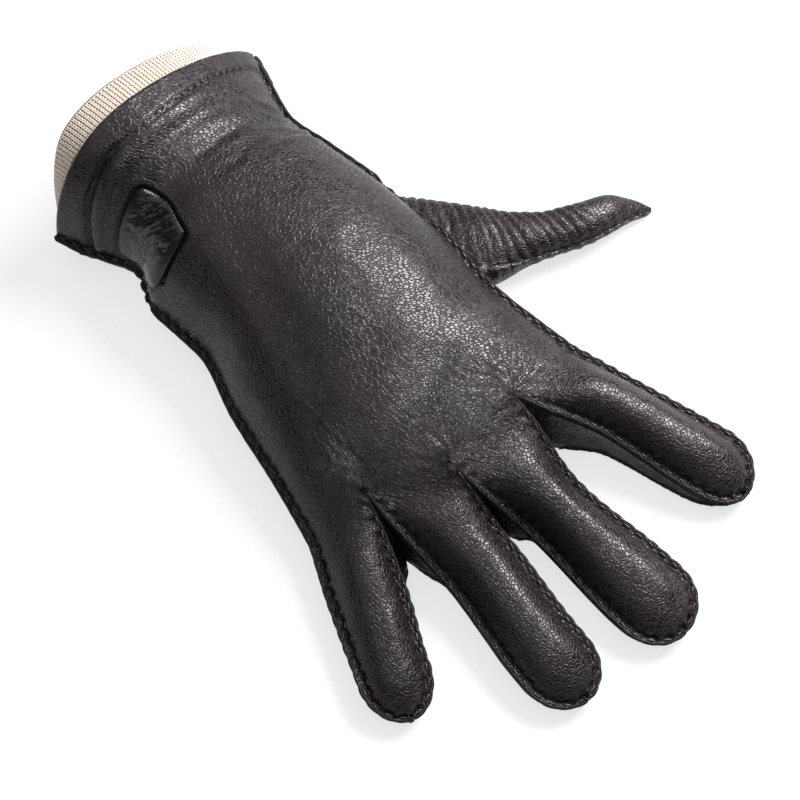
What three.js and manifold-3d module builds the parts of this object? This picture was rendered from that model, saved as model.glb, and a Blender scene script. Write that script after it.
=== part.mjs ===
// A lined deerskin glove for the right hand, lying palm down with its fingers towards -Y and its cuff towards
// +Y. Millimetres, +Z up. The palm side rests on z = 0, and the origin is under the middle of the glove's box.
//
// The back and the palm side are each one cut piece. Both run round the hand and out along the four fingers,
// and both are worked out from the same side seams, so that their edges meet in a flat seam that stands
// outwards. Strips called fourchettes stand between them wherever two fingers face each other.

import * as THREE from "three";
import { mergeVertices } from "three/addons/utils/BufferGeometryUtils.js";
import Module from "manifold-3d";

// Driving sizes

const LEATHER = 1.3; // thickness of the deerskin
const HEM_LEATHER = 2.2; // the cuff's edge is turned in and doubled
const SEAM_GAP = 0.3; // between two pieces that are sewn together
const SEAM_EDGE = 1.8; // width of the flat seam that stands outwards
const NO_EDGE = 0.05; // a narrower edge is left out
const SEAM_EASE = 30; // the seam's edge widens over this length from the bottom of a slit between fingers
const FOURCHETTE = 1.1; // thickness of the strips between the fingers
const LINING = 2; // thickness of the knit
const LINING_SHOWS = 7; // how far the knit stands out of the cuff
const LINING_ROWS = 10; // how many of the hand's rows it reaches in from the cuff's edge
const LINING_COLUMNS = 16; // across its upper half, and again across its lower half
const LINING_INSET = 3.2; // from the seams' lines at the sides
const LINING_FILL = 0.985; // its arch as a share of the back's
const PATCH = { thickness: 1.8, lift: 0.9, rows: [0.14, 0.33], columns: [0.034, 0.214] };
const PATCH_SWELL = 0.4; // share of the patch's thickness that is its domed middle
const PATCH_PULL = 0.09; // how far its corners are drawn in
const THUMB_GAP = 0.3; // between the thumb's trimmed root and the hand
const CENTRING = { x: -1.2, y: -0.475 }; // moves the finished glove over the middle of its box

const HAND_ROWS = 16;
const FINGER_ROWS = 10;
const BACK_COLUMNS = 6; // across one finger, and across the hand behind it
const PALM_COLUMNS = 4;
const THUMB_ROWS = 15;
const THUMB_SIDES = 20;

// Shapes that the tables below share

const ARCH = { power: 2.3, root: 0.55 }; // the back's arch between its seams: a higher power is squarer
const ARCH_EVENS = 0.17; // keeps the arch at its height where it leans to one side
const FINGER_STATIONS = [0, 0.4, 0.8, 1]; // shares of a finger's length at which its sizes are given
const PALM_STATIONS = [0, 0.5, 0.82, 0.94, 1]; // the same for the heights of the palm side's inner edges
const PALM_FLAT = { finger: 0.5, hand: 0.68 }; // share of the palm side's half width that lies flat
const TIP_ROUND = 13; // length of a fingertip's round end
const TIP_START = 0.86; // share of a finger's length from which its arch comes down to the tip
const TIP_ROWS = 4; // rows from there to the tip
const TIP_END = 0.998; // the last row, just short of the finger's point
const ROOT_SHARE = 0.4; // over this share of a finger its edges turn from the slit's direction to the finger's
const KNUCKLE_REACH = { back: 0.11, palm: 0.08 }; // the fingers' shapes fade out over these shares of the hand
const FOURCHETTE_END = 0.93; // the strips between the fingers end at this share of the fingers' length
const FOURCHETTE_RIM = 0.85; // width of their turned rims, as a share of the seam's edge
const THUMB_POWER = 0.85; // below 1, the thumb's section is fuller than an ellipse
const THUMB_HOLLOW_END = 0.94; // share of the thumb's length at which its hollow ends

// The hand's cross-sections from the cuff's edge to the knuckles: the two side seams, with the height of their
// upper face, the height of the back between them, and how much further the back bulges on its left than on its
// right. Left is the little finger's side. The rows are the cuff, the hem's line, the wrist, the heel of the
// hand, the middle of the hand, the thumb's root, the back of the knuckles and the fingers' roots.
const HAND = {
  at: [0, 0.09, 0.2, 0.32, 0.48, 0.66, 0.84, 1],
  leftX: [-50, -46.5, -40.5, -46.8, -47.3, -56.3, -64, -71],
  leftY: [120, 108, 92, 77, 55, 29, 2, -20],
  leftZ: [14, 12.5, 11, 11, 11, 11, 11, 9.5],
  rightX: [45.8, 41.5, 35.7, 36.4, 37.6, 38, 34, 35.3],
  rightY: [120, 108.5, 90.5, 75.5, 54, 26, -5, -36],
  rightZ: [15, 15, 16, 18, 18.5, 17.5, 16, 14],
  crown: [53.5, 51, 43, 44, 44, 42, 37, 31],
  lean: [0.36, 0.33, 0.22, 0.15, 0.1, 0.05, 0, 0],
};

// The bottoms of the slits between the fingers, on the back and on the palm side.
const SLITS = [
  { name: "little_ring", x: -49.2, y: -21.9, z: 20, palmX: -52.5, palmY: -41 },
  { name: "ring_middle", x: -25.3, y: -35.5, z: 23, palmX: -25, palmY: -58 },
  { name: "middle_index", x: 6, y: -35.5, z: 22, palmX: 6, palmY: -46.5 },
];

// The fingers. Offsets are from the line between the root's middle and the tip, at 0.4 and 0.8 of its length.
// Edge heights are those of the back panel's edge, and tuck is how far the palm side's edge lies inside it.
const FINGERS = [
  {
    name: "little", tipX: -90.3, tipY: -79.8, tipZ: 5.5, left: [10.6, 10.6], right: [11.2, 9.4],
    leftZ: [8, 7.5], rightZ: [11, 8], crown: [25, 18, 14], tuckLeft: 0, tuckRight: -0.6,
  },
  {
    name: "ring", tipX: -49.2, tipY: -115.8, tipZ: 5.5, left: [8.8, 11.4], right: [13.6, 11.4],
    leftZ: [11, 8], rightZ: [11, 8], crown: [29, 20, 15], tuckLeft: 1.5, tuckRight: 0.5,
  },
  {
    name: "middle", tipX: -11.6, tipY: -124.3, tipZ: 5.5, left: [9.6, 11.9], right: [11.6, 13.4],
    leftZ: [11, 8], rightZ: [11, 8], crown: [30, 21, 15], tuckLeft: 1.5, tuckRight: 0.5,
  },
  {
    name: "index", tipX: 39.2, tipY: -109, tipZ: 5.5, left: [7, 8.6], right: [13.8, 13.2],
    leftZ: [16, 9], rightZ: [12, 9], crown: [30, 23, 16], tuckLeft: -1, tuckRight: 0,
  },
];

// The thumb's cross-sections from inside the hand to the tip: centre, half width, half height.
const THUMB = [
  { x: 26, y: 34, wide: 21.5, high: 8.2 },
  { x: 38, y: 22.1, wide: 18.8, high: 8.8 },
  { x: 49, y: 12, wide: 15, high: 9 },
  { x: 59, y: 5.2, wide: 10, high: 8.8 },
  { x: 69.2, y: -1.1, wide: 7.8, high: 7.9 },
  { x: 79.5, y: -6.3, wide: 7.4, high: 7.7 },
  { x: 87.5, y: -9.1, wide: 6.9, high: 7.2 },
  { x: 94, y: -13, wide: 4.2, high: 4.4 },
  { x: 98.7, y: -17.4, wide: 1.5, high: 2.6 },
];

// Folds and dents of the back: a ridge (or, with a height below zero, a valley) centred on x, y that runs at an
// angle from +X, with a half length and a half width.
const FOLDS = [
  { x: -2, y: 103, angle: 0, length: 42, width: 3, height: -1.6 }, // line of the hem
  { x: -43, y: 92, angle: 95, length: 9, width: 4, height: -1.5 }, // gathered wrist, little finger's side
  { x: 26, y: 88, angle: 20, length: 16, width: 5, height: -2.2 }, // gathered wrist, thumb's side
  { x: 24, y: 77, angle: 10, length: 12, width: 4, height: 1.2 },
  { x: 24, y: 4, angle: 60, length: 16, width: 5, height: -2.2 }, // pull towards the thumb's root
  { x: -30, y: 34, angle: 70, length: 34, width: 9, height: -2.4 }, // long hollow, little finger's side
  { x: -12, y: -16, angle: 20, length: 26, width: 7, height: -1.6 }, // crease across the knuckles
];

// Small helpers

const lerp = (a, b, t) => a + (b - a) * t;
const clamp01 = (t) => Math.min(1, Math.max(0, t));
const ease = (t) => clamp01(t) ** 2 * (3 - 2 * clamp01(t));

// A smooth curve through values at the given stations, flat where neighbours would make it overshoot.
function curveThrough(stations, values, at) {
  const last = stations.length - 1;
  const slope = (i) => (values[i + 1] - values[i]) / (stations[i + 1] - stations[i]);
  const tangent = (i) => {
    if (i === 0) return slope(0);
    if (i === last) return slope(last - 1);
    const [before, after] = [slope(i - 1), slope(i)];
    return before * after <= 0 ? 0 : (2 * before * after) / (before + after);
  };
  let i = 0;
  while (i < last - 1 && at > stations[i + 1]) i++;
  const span = stations[i + 1] - stations[i];
  const t = clamp01((at - stations[i]) / span);
  const [t2, t3] = [t * t, t * t * t];
  return (
    (2 * t3 - 3 * t2 + 1) * values[i] + (t3 - 2 * t2 + t) * span * tangent(i) +
    (3 * t2 - 2 * t3) * values[i + 1] + (t3 - t2) * span * tangent(i + 1)
  );
}

const hand = (key, at) => curveThrough(HAND.at, HAND[key], at);

function foldHeight(x, y) {
  let height = 0;
  for (const fold of FOLDS) {
    const angle = THREE.MathUtils.degToRad(fold.angle);
    const along = ((x - fold.x) * Math.cos(angle) + (y - fold.y) * Math.sin(angle)) / fold.length;
    const across = ((y - fold.y) * Math.cos(angle) - (x - fold.x) * Math.sin(angle)) / fold.width;
    height += fold.height * Math.exp(-along * along - across * across);
  }
  return height;
}

// Rise of the back from its seams to its middle, and of the palm side's rounded rim. u runs from -1 to 1.
const backRise = (u) => Math.max(0, 1 - Math.abs(u) ** ARCH.power) ** ARCH.root;
const rimRise = (u, flat) => {
  const past = Math.max(0, Math.abs(u) - flat) / (1 - flat);
  return 1 - Math.sqrt(Math.max(0, 1 - past ** 2));
};

// The fingers' edges

const [cuffY, hemY] = HAND.leftY;
const leatherAt = (p) => (p.y > hemY ? HEM_LEATHER : LEATHER);

// From the back panel's upper face to the palm panel's lower face at a seam.
const seamDrop = (p) => 2 * leatherAt(p) + SEAM_GAP;

function rootPoint(i, panel) {
  if (i === 0) return new THREE.Vector3(HAND.leftX.at(-1), HAND.leftY.at(-1), HAND.leftZ.at(-1));
  if (i === FINGERS.length) return new THREE.Vector3(HAND.rightX.at(-1), HAND.rightY.at(-1), HAND.rightZ.at(-1));
  const slit = SLITS[i - 1];
  const [x, y] = panel === "back" ? [slit.x, slit.y] : [slit.palmX, slit.palmY];
  return new THREE.Vector3(x, y, slit.z);
}

// The line of finger i: root's middle, length, direction, and the direction to its right.
function fingerLine(i) {
  const root = rootPoint(i, "back").add(rootPoint(i + 1, "back")).multiplyScalar(0.5).setZ(0);
  const tip = new THREE.Vector3(FINGERS[i].tipX, FINGERS[i].tipY, 0);
  const along = tip.clone().sub(root);
  const length = along.length();
  along.normalize();
  return { root, length, along, right: new THREE.Vector3(-along.y, along.x, 0) };
}

// A point of the back panel's edge, on side -1 (left) or 1 (right) of finger i, at share s of its length.
function backEdge(i, side, s) {
  const finger = FINGERS[i];
  const { root, length, along, right } = fingerLine(i);
  const start = rootPoint(side < 0 ? i : i + 1, "back");
  const rootOffset = start.clone().sub(root).setZ(0).dot(right) * side;
  const offsets = side < 0 ? finger.left : finger.right;
  const heights = side < 0 ? finger.leftZ : finger.rightZ;
  const roundStart = 1 - TIP_ROUND / length;
  const round = s <= roundStart ? 1 : Math.sqrt(Math.max(0, 1 - ((s - roundStart) / (1 - roundStart)) ** 2));
  const offset = curveThrough(FINGER_STATIONS, [rootOffset, ...offsets, offsets[1]], s) * round;
  const point = root.clone().addScaledVector(along, length * s).addScaledVector(right, side * offset);
  const squareRoot = root.clone().addScaledVector(right, side * rootOffset);
  point.addScaledVector(start.clone().setZ(0).sub(squareRoot), 1 - ease(s / ROOT_SHARE));
  return point.setZ(curveThrough(FINGER_STATIONS, [start.z, ...heights, finger.tipZ], s));
}

const facesNeighbour = (i, side) => (side < 0 ? i > 0 : i < FINGERS.length - 1);

// The palm panel's edge under it, as the height of that panel's lower face.
function palmEdge(i, side, s) {
  const point = backEdge(i, side, s);
  if (!facesNeighbour(i, side)) return point.setZ(point.z - seamDrop(point));
  const finger = FINGERS[i];
  const { right } = fingerLine(i);
  const tuck = (side < 0 ? finger.tuckLeft : finger.tuckRight) * ease(s / ROOT_SHARE) * ease((1 - s) / 0.25);
  const start = rootPoint(side < 0 ? i : i + 1, "palm");
  const fromBack = start.sub(rootPoint(side < 0 ? i : i + 1, "back")).setZ(0);
  point.addScaledVector(fromBack, 1 - ease(s / 0.45)).addScaledVector(right, -side * tuck);
  const tip = finger.tipZ - seamDrop(point);
  return point.setZ(curveThrough(PALM_STATIONS, [1.6, 1, 1, tip, tip], s));
}

// The outer face of each panel. On a finger v runs from -1 to 1 across it and s from 0 to 1 along it. On the
// hand c runs from 0 to 1 across it and r from 0 to 1 along it.

function backFinger(i, s, v) {
  const [left, right] = [backEdge(i, -1, s), backEdge(i, 1, s)];
  const point = left.clone().lerp(right, (v + 1) / 2);
  const crown = curveThrough(FINGER_STATIONS, [...FINGERS[i].crown, FINGERS[i].tipZ + 4], s);
  const tipFlat = Math.sqrt(Math.max(0, 1 - clamp01((s - TIP_START) / (1 - TIP_START)) ** 2));
  point.z += Math.max(0, crown - (left.z + right.z) / 2) * backRise(v) * tipFlat;
  point.z += foldHeight(point.x, point.y) * backRise(v) * tipFlat;
  return point;
}

function palmFinger(i, s, v) {
  const [left, right] = [palmEdge(i, -1, s), palmEdge(i, 1, s)];
  const point = left.clone().lerp(right, (v + 1) / 2);
  return point.setZ((v < 0 ? left.z : right.z) * rimRise(v, PALM_FLAT.finger));
}

// Where the slits fall across the knuckles, as shares of the hand's width.
const slitShares = (() => {
  const roots = Array.from({ length: FINGERS.length + 1 }, (_, i) => rootPoint(i, "back").setZ(0));
  const lengths = roots.map((p, i) => (i ? p.distanceTo(roots[i - 1]) : 0));
  const total = lengths.reduce((sum, length) => sum + length, 0);
  let run = 0;
  return lengths.map((length) => (run += length) / total);
})();

// The finger behind which share c of the hand's width lies, and the place across that finger.
function fingerAt(c) {
  let i = 0;
  while (i < FINGERS.length - 1 && c > slitShares[i + 1] + 1e-9) i++;
  return { i, v: (2 * (c - slitShares[i])) / (slitShares[i + 1] - slitShares[i]) - 1 };
}

function handPlan(r, c, panel) {
  const left = new THREE.Vector3(hand("leftX", r), hand("leftY", r), 0);
  const right = new THREE.Vector3(hand("rightX", r), hand("rightY", r), 0);
  const { i, v } = fingerAt(c);
  const knuckles = rootPoint(i, panel).lerp(rootPoint(i + 1, panel), (v + 1) / 2).setZ(0);
  const straight = rootPoint(0, panel).lerp(rootPoint(FINGERS.length, panel), c).setZ(0);
  return left.lerp(right, c).addScaledVector(knuckles.sub(straight), r ** 4);
}

function backHand(r, c) {
  const point = handPlan(r, c, "back");
  const u = 2 * c - 1;
  const over = (row) => {
    const seam = lerp(hand("leftZ", row), hand("rightZ", row), c);
    const lean = hand("lean", row);
    const arch = (backRise(u) * (1 - lean * u)) / (1 + ARCH_EVENS * lean);
    return seam + (hand("crown", row) - seam) * arch;
  };
  const { i, v } = fingerAt(c);
  const toKnuckles = (1 - r) / KNUCKLE_REACH.back;
  const dips = (backFinger(i, 0, v).z - over(1)) * Math.exp(-(toKnuckles ** 2));
  const folds = foldHeight(point.x, point.y) * backRise(u) * clamp01(toKnuckles);
  return point.setZ(over(r) + folds + dips);
}

function palmHand(r, c) {
  const point = handPlan(r, c, "palm");
  const u = 2 * c - 1;
  const seam = hand(u < 0 ? "leftZ" : "rightZ", r) - seamDrop(point);
  const { i, v } = fingerAt(c);
  const atKnuckles = Math.exp(-(((1 - r) / KNUCKLE_REACH.palm) ** 2));
  return point.setZ(lerp(seam * rimRise(u, PALM_FLAT.hand), palmFinger(i, 0, v).z, atKnuckles));
}

// Places across a finger from -1 to 1, closer together towards its edges.
function places(count) {
  const crowding = 0.55;
  return Array.from({ length: count + 1 }, (_, k) => {
    const t = (2 * k) / count - 1;
    return (1 - crowding) * t + crowding * Math.sin((Math.PI / 2) * t);
  });
}

// Rows along a finger, closer together round the tip, and ending just short of its point.
const fingerRows = Array.from({ length: FINGER_ROWS + 1 }, (_, k) => {
  const straight = FINGER_ROWS - TIP_ROWS;
  if (k <= straight) return (TIP_START * k) / straight;
  return lerp(TIP_START, TIP_END, Math.sin(((Math.PI / 2) * (k - straight)) / TIP_ROWS));
});

// A panel's outer face: one grid for the hand and one for each finger, which share the knuckles' vertices.
function panelFace(handFace, fingerFace, columns, looksUp) {
  const positions = [];
  const quad = (a, b, c, d) => {
    const corners = looksUp ? [a, b, c, a, c, d] : [a, c, b, a, d, c];
    for (const p of corners) positions.push(p.x, p.y, p.z);
  };
  const grid = (rows) => {
    for (let k = 0; k + 1 < rows.length; k++) {
      const [row, next] = [rows[k], rows[k + 1]];
      for (let j = 0; j + 1 < row.length; j++) quad(row[j], next[j], next[j + 1], row[j + 1]);
    }
  };
  const across = places(columns);
  const shares = [0];
  FINGERS.forEach((_, i) => {
    for (const v of across.slice(1)) shares.push(lerp(slitShares[i], slitShares[i + 1], (v + 1) / 2));
  });
  grid(Array.from({ length: HAND_ROWS + 1 }, (_, k) => shares.map((c) => handFace(k / HAND_ROWS, c))));
  FINGERS.forEach((_, i) => grid(fingerRows.map((s) => across.map((v) => fingerFace(i, s, v)))));
  const face = new THREE.BufferGeometry();
  face.setAttribute("position", new THREE.Float32BufferAttribute(positions, 3));
  return mergeVertices(face, 1e-3);
}

// Edges of a face that belong to one triangle only, as [from, to] in that triangle's order.
function openEdges(index) {
  const seen = new Map();
  for (let t = 0; t < index.length; t += 3)
    for (let k = 0; k < 3; k++) {
      const [a, b] = [index[t + k], index[t + ((k + 1) % 3)]];
      seen.set(a + "," + b, [a, b]);
    }
  return [...seen.values()].filter(([a, b]) => !seen.has(b + "," + a));
}

const points = (geometry) => {
  const position = geometry.getAttribute("position");
  return Array.from({ length: position.count }, (_, i) => new THREE.Vector3().fromBufferAttribute(position, i));
};

function geometryOf(vertices, index) {
  const geometry = new THREE.BufferGeometry();
  geometry.setAttribute("position", new THREE.Float32BufferAttribute(vertices.flatMap((p) => p.toArray()), 3));
  geometry.setIndex(index);
  return geometry;
}

// Adds the seam's flat edge, which stands outwards from the face's open edges by width(point). Seen from above,
// the open edges run one way round a face that looks up, and the other way round one that looks down.
function withSeamEdge(face, width, looksUp) {
  const vertices = points(face);
  const index = [...face.index.array];
  const edges = openEdges(index);
  const outward = new Map();
  const turn = new THREE.Vector3();
  for (const [a, b] of edges) {
    turn.subVectors(vertices[b], vertices[a]).setZ(0);
    for (const v of [a, b])
      outward.set(v, (outward.get(v) ?? new THREE.Vector3()).add(new THREE.Vector3(turn.y, -turn.x, 0)));
  }
  const turned = looksUp ? 1 : -1;
  const rim = new Map();
  for (const [v, direction] of outward) {
    const wide = width(vertices[v]);
    const outer = vertices[v].clone().addScaledVector(direction.normalize(), wide * turned);
    rim.set(v, wide < NO_EDGE ? v : vertices.push(outer) - 1);
  }
  for (const [a, b] of edges)
    for (const triangle of [[b, a, rim.get(a)], [b, rim.get(a), rim.get(b)]])
      if (new Set(triangle).size === 3) index.push(...triangle);
  return geometryOf(vertices, index);
}

// Gives a face its thickness, inwards along its normals.
function thicken(face, thickness) {
  face.computeVertexNormals();
  const normal = face.getAttribute("normal");
  const outer = points(face);
  const inner = outer.map((p, i) =>
    p.clone().addScaledVector(new THREE.Vector3().fromBufferAttribute(normal, i), -thickness(p)));
  const index = [...face.index.array];
  const n = outer.length;
  const both = [...index];
  for (let t = 0; t < index.length; t += 3) both.push(index[t] + n, index[t + 2] + n, index[t + 1] + n);
  for (const [a, b] of openEdges(index)) both.push(b, a, a + n, b, a + n, b + n);
  return geometryOf([...outer, ...inner], both);
}

// A closed solid through sections that all have the same number of points.
function loft(sections) {
  const sides = sections[0].length;
  const index = [];
  for (let k = 0; k + 1 < sections.length; k++)
    for (let j = 0; j < sides; j++) {
      const [a, b] = [k * sides + j, k * sides + ((j + 1) % sides)];
      index.push(a, b, b + sides, a, b + sides, a + sides);
    }
  const end = (sections.length - 1) * sides;
  const contour = (section) => {
    const normal = new THREE.Vector3();
    section.forEach((p, j) => normal.add(new THREE.Vector3().crossVectors(p, section[(j + 1) % sides])));
    const flat = new THREE.Quaternion().setFromUnitVectors(normal.normalize(), new THREE.Vector3(0, 0, 1));
    return section.map((p) => p.clone().applyQuaternion(flat)).map((p) => new THREE.Vector2(p.x, p.y));
  };
  const lid = (section) => THREE.ShapeUtils.triangulateShape(contour(section), []);
  for (const [a, b, c] of lid(sections[0])) index.push(a, c, b);
  for (const [a, b, c] of lid(sections.at(-1))) index.push(end + a, end + b, end + c);
  return geometryOf(sections.flat(), index);
}

// Solids, for what is cut

const wasm = await Module();
wasm.setup();

function solidOf(geometry) {
  const bare = new THREE.BufferGeometry().setAttribute("position", geometry.getAttribute("position"));
  bare.setIndex(geometry.index);
  const merged = mergeVertices(bare, 1e-4);
  const mesh = new wasm.Mesh({
    numProp: 3,
    vertProperties: new Float32Array(merged.getAttribute("position").array),
    triVerts: new Uint32Array(merged.index.array),
  });
  const solid = new wasm.Manifold(mesh);
  if (solid.volume() >= 0) return solid;
  const turnedOver = [0, 1, -1]; // each triangle's second and third corners change places
  mesh.triVerts = mesh.triVerts.map((_, i, all) => all[i + turnedOver[i % 3]]);
  return new wasm.Manifold(mesh);
}

function geometryFrom(solid) {
  const biggest = solid.decompose().sort((a, b) => b.volume() - a.volume())[0];
  const { numProp, numVert, vertProperties, triVerts } = biggest.getMesh();
  const vertices = Array.from({ length: numVert }, (_, i) =>
    new THREE.Vector3(...vertProperties.subarray(i * numProp, i * numProp + 3)));
  return geometryOf(vertices, [...triVerts]);
}

// The pieces

const besideThumb = (p) => p.x > 20 && p.y > -8 && p.y < 52;

// Width of the seam's edge: none round the cuff and where the thumb is sewn in, and growing out of each slit.
function seamWidth(panel) {
  const slits = SLITS.map((_, i) => rootPoint(i + 1, panel));
  return (p) => {
    if (p.y > cuffY - 0.01 || besideThumb(p)) return 0;
    const nearest = Math.min(...slits.map((slit) => Math.hypot(p.x - slit.x, p.y - slit.y)));
    return SEAM_EDGE * ease(nearest / SEAM_EASE);
  };
}

function panel(name, handFace, fingerFace, columns) {
  const looksUp = name === "back";
  const face = panelFace(handFace, fingerFace, columns, looksUp);
  return thicken(withSeamEdge(face, seamWidth(name), looksUp), leatherAt);
}

const backPanel = () => panel("back", backHand, backFinger, BACK_COLUMNS);

// The strip between finger i and the next one: up the first finger's right edge to the slit, and down the next
// one's left edge. Its section is a wall with both rims turned outwards, into the gap between the fingers.
function fourchette(i) {
  const [first, second] = [fingerLine(i), fingerLine(i + 1)];
  const bottom = first.along.clone().add(second.along).normalize();
  const shares = fingerRows.filter((s) => s > 0 && s < FOURCHETTE_END);
  const down = shares.toReversed().map((s) => ({ finger: i, edge: 1, s, out: first.right }));
  const up = shares.map((s) => ({ finger: i + 1, edge: -1, s, out: second.right.clone().negate() }));
  const stops = [...down, { finger: i, edge: 1, s: 0, out: bottom }, ...up];
  const least = 0.02; // of the rims' width, so that no two points fall together
  return loft(stops.map(({ finger, edge, s, out }) => {
    const [top, foot] = [backEdge(finger, edge, s), palmEdge(finger, edge, s)];
    const high = top.z - LEATHER - SEAM_GAP;
    const low = foot.z + LEATHER + SEAM_GAP;
    const wall = Math.min(FOURCHETTE, 0.3 * (high - low));
    const rim = FOURCHETTE_RIM * SEAM_EDGE * ease((s * fingerLine(finger).length) / SEAM_EASE) + least;
    const at = (base, offset, z) => base.clone().addScaledVector(out, offset).setZ(z);
    return [
      at(top, -wall, high), at(top, rim, high), at(top, rim, high - wall), at(top, 0, high - wall),
      at(foot, 0, low + wall), at(foot, rim, low + wall), at(foot, rim, low), at(foot, -wall, low),
    ];
  }));
}

// The thumb's section at share t of its length, taken in by a margin for the hollow inside it.
function thumbSection(t, margin) {
  const stations = THUMB.map((_, k) => k / (THUMB.length - 1));
  const value = (key, at) => curveThrough(stations, THUMB.map((row) => row[key]), at);
  const centre = (at) => new THREE.Vector3(value("x", at), value("y", at), 0);
  const step = 0.01;
  const ahead = centre(t + step).sub(centre(t - step));
  const across = new THREE.Vector3(-ahead.y, ahead.x, 0).normalize();
  const [wide, high] = [value("wide", t) - margin, value("high", t) - margin];
  const bulge = (x) => Math.sign(x) * Math.abs(x) ** THUMB_POWER;
  return Array.from({ length: THUMB_SIDES }, (_, k) => {
    const angle = (2 * Math.PI * k) / THUMB_SIDES;
    const point = centre(t).addScaledVector(across, wide * bulge(Math.cos(angle)));
    return point.setZ(high + margin + high * bulge(Math.sin(angle)));
  });
}

const thumbLoft = (margin, end) =>
  solidOf(loft(Array.from({ length: THUMB_ROWS + 1 }, (_, k) => thumbSection((end * k) / THUMB_ROWS, margin))));

// The hand as one solid body from the wrist on, grown by the gap that the thumb's root keeps to it.
function handBody() {
  const firstRow = 3;
  const sideways = 1.4 * THUMB_GAP; // the hand's side slants, so the gap across it takes a little more
  const shares = places(4 * BACK_COLUMNS).map((v) => (v + 1) / 2);
  const grown = (p, c, up) => p.add(new THREE.Vector3(sideways * (2 * c - 1), 0, up * THUMB_GAP));
  const sections = [];
  for (let k = firstRow; k <= HAND_ROWS; k++) {
    const above = shares.map((c) => grown(backHand(k / HAND_ROWS, c), c, 1));
    const below = shares.map((c) => grown(palmHand(k / HAND_ROWS, c), c, -1));
    sections.push([...above, ...below.reverse()]);
  }
  return solidOf(loft(sections));
}

const thumbHollow = thumbLoft(LEATHER, THUMB_HOLLOW_END);
const thumb = () => geometryFrom(thumbLoft(0, 1).subtract(thumbHollow).subtract(handBody()));

function palmPanel() {
  const sheet = solidOf(panel("palm", palmHand, palmFinger, PALM_COLUMNS));
  return geometryFrom(sheet.subtract(thumbHollow));
}

// The knit tube inside the cuff, at one of the hand's rows. Row -1 is the edge that stands out of the cuff.
function liningSection(row, margin, more) {
  const r = Math.max(0, row) / HAND_ROWS;
  const out = row < 0 ? LINING_SHOWS + more : 0;
  const shares = places(LINING_COLUMNS).map((v) => (v + 1) / 2);
  const inset = (p, c, z) => new THREE.Vector3(p.x + (LINING_INSET + margin) * (1 - 2 * c), p.y + out, z);
  const upper = shares.map((c) => {
    const p = backHand(r, c);
    const seam = lerp(hand("leftZ", r), hand("rightZ", r), c);
    const rise = Math.max(0, (p.z - seam) * LINING_FILL - margin * backRise(2 * c - 1));
    return inset(p, c, seam - leatherAt(p) - SEAM_GAP / 2 + rise);
  });
  const lower = shares.slice(1, -1).map((c) => {
    const p = palmHand(r, c);
    return inset(p, c, p.z + leatherAt(p) + SEAM_GAP + margin * backRise(2 * c - 1));
  });
  return [...upper, ...lower.reverse()];
}

function knitLining() {
  const tube = (margin, more) => {
    const rows = Array.from({ length: LINING_ROWS + 2 }, (_, k) => k - 1);
    const sections = rows.map((row) => liningSection(row, margin, more));
    if (more) sections.push(sections.at(-1).map((p) => p.clone().setY(p.y - more)));
    return solidOf(loft(sections));
  };
  return geometryFrom(tube(0, 0).subtract(tube(LINING, 1)));
}

// The patch: a square of the back's own surface, lifted off it and given a thickness that swells in the middle.
function cuffPatch() {
  const steps = 7;
  const step = 0.004;
  const lifted = (r, c, lift) => {
    const alongR = backHand(r + step, c).sub(backHand(r - step, c));
    const alongC = backHand(r, c + step).sub(backHand(r, c - step));
    return backHand(r, c).addScaledVector(alongR.cross(alongC).normalize(), lift);
  };
  const surface = (lift, swell) => {
    const grid = [];
    for (let k = 0; k <= steps; k++)
      for (let j = 0; j <= steps; j++) {
        const [a, b] = [(2 * k) / steps - 1, (2 * j) / steps - 1];
        const pull = 1 - PATCH_PULL * (a * a * b * b);
        const r = lerp(PATCH.rows[0], PATCH.rows[1], (a * pull + 1) / 2);
        const c = lerp(PATCH.columns[0], PATCH.columns[1], (b * pull + 1) / 2);
        grid.push(lifted(r, c, lift + swell * (1 - a ** 4) * (1 - b ** 4)));
      }
    return grid;
  };
  const swell = PATCH.thickness * PATCH_SWELL;
  const under = surface(PATCH.lift, 0);
  const over = surface(PATCH.lift + PATCH.thickness - swell, swell);
  const index = [];
  const n = under.length;
  const at = (k, j) => k * (steps + 1) + j;
  for (let k = 0; k < steps; k++)
    for (let j = 0; j < steps; j++) {
      const [a, b, c, d] = [at(k, j), at(k + 1, j), at(k + 1, j + 1), at(k, j + 1)];
      index.push(a + n, b + n, c + n, a + n, c + n, d + n, a, c, b, a, d, c);
    }
  for (const [a, b] of openEdges(index)) if (a >= n && b >= n) index.push(b, a, a - n, b, a - n, b - n);
  return geometryFrom(solidOf(geometryOf([...under, ...over], index)));
}

// The glove

const leather = new THREE.MeshStandardMaterial({ color: 0x2b2426, roughness: 0.42, metalness: 0 });
const patchLeather = new THREE.MeshStandardMaterial({ color: 0x231e20, roughness: 0.45, metalness: 0 });
const knit = new THREE.MeshStandardMaterial({ color: 0xcfc3ad, roughness: 0.95, metalness: 0 });

const glove = new THREE.Group();

function add(name, geometry, material) {
  const mesh = new THREE.Mesh(geometry, material);
  mesh.name = name;
  glove.add(mesh);
}

add("back_panel", backPanel(), leather);
add("palm_panel", palmPanel(), leather);
SLITS.forEach((slit, i) => add("fourchette_" + slit.name, fourchette(i), leather));
add("thumb", thumb(), leather);
add("cuff_patch", cuffPatch(), patchLeather);
add("knit_lining", knitLining(), knit);
glove.position.set(CENTRING.x, CENTRING.y, 0);

export default glove;
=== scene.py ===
"""A lined deerskin glove for the right hand, lying palm down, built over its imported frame.

All the shapes are worked out in millimetres from the same tables of seams as the solid part, and turned to
metres when a mesh is made. Left is the little finger's side, +Y is the cuff, and the palm side rests on
z = 0.
"""

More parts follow.
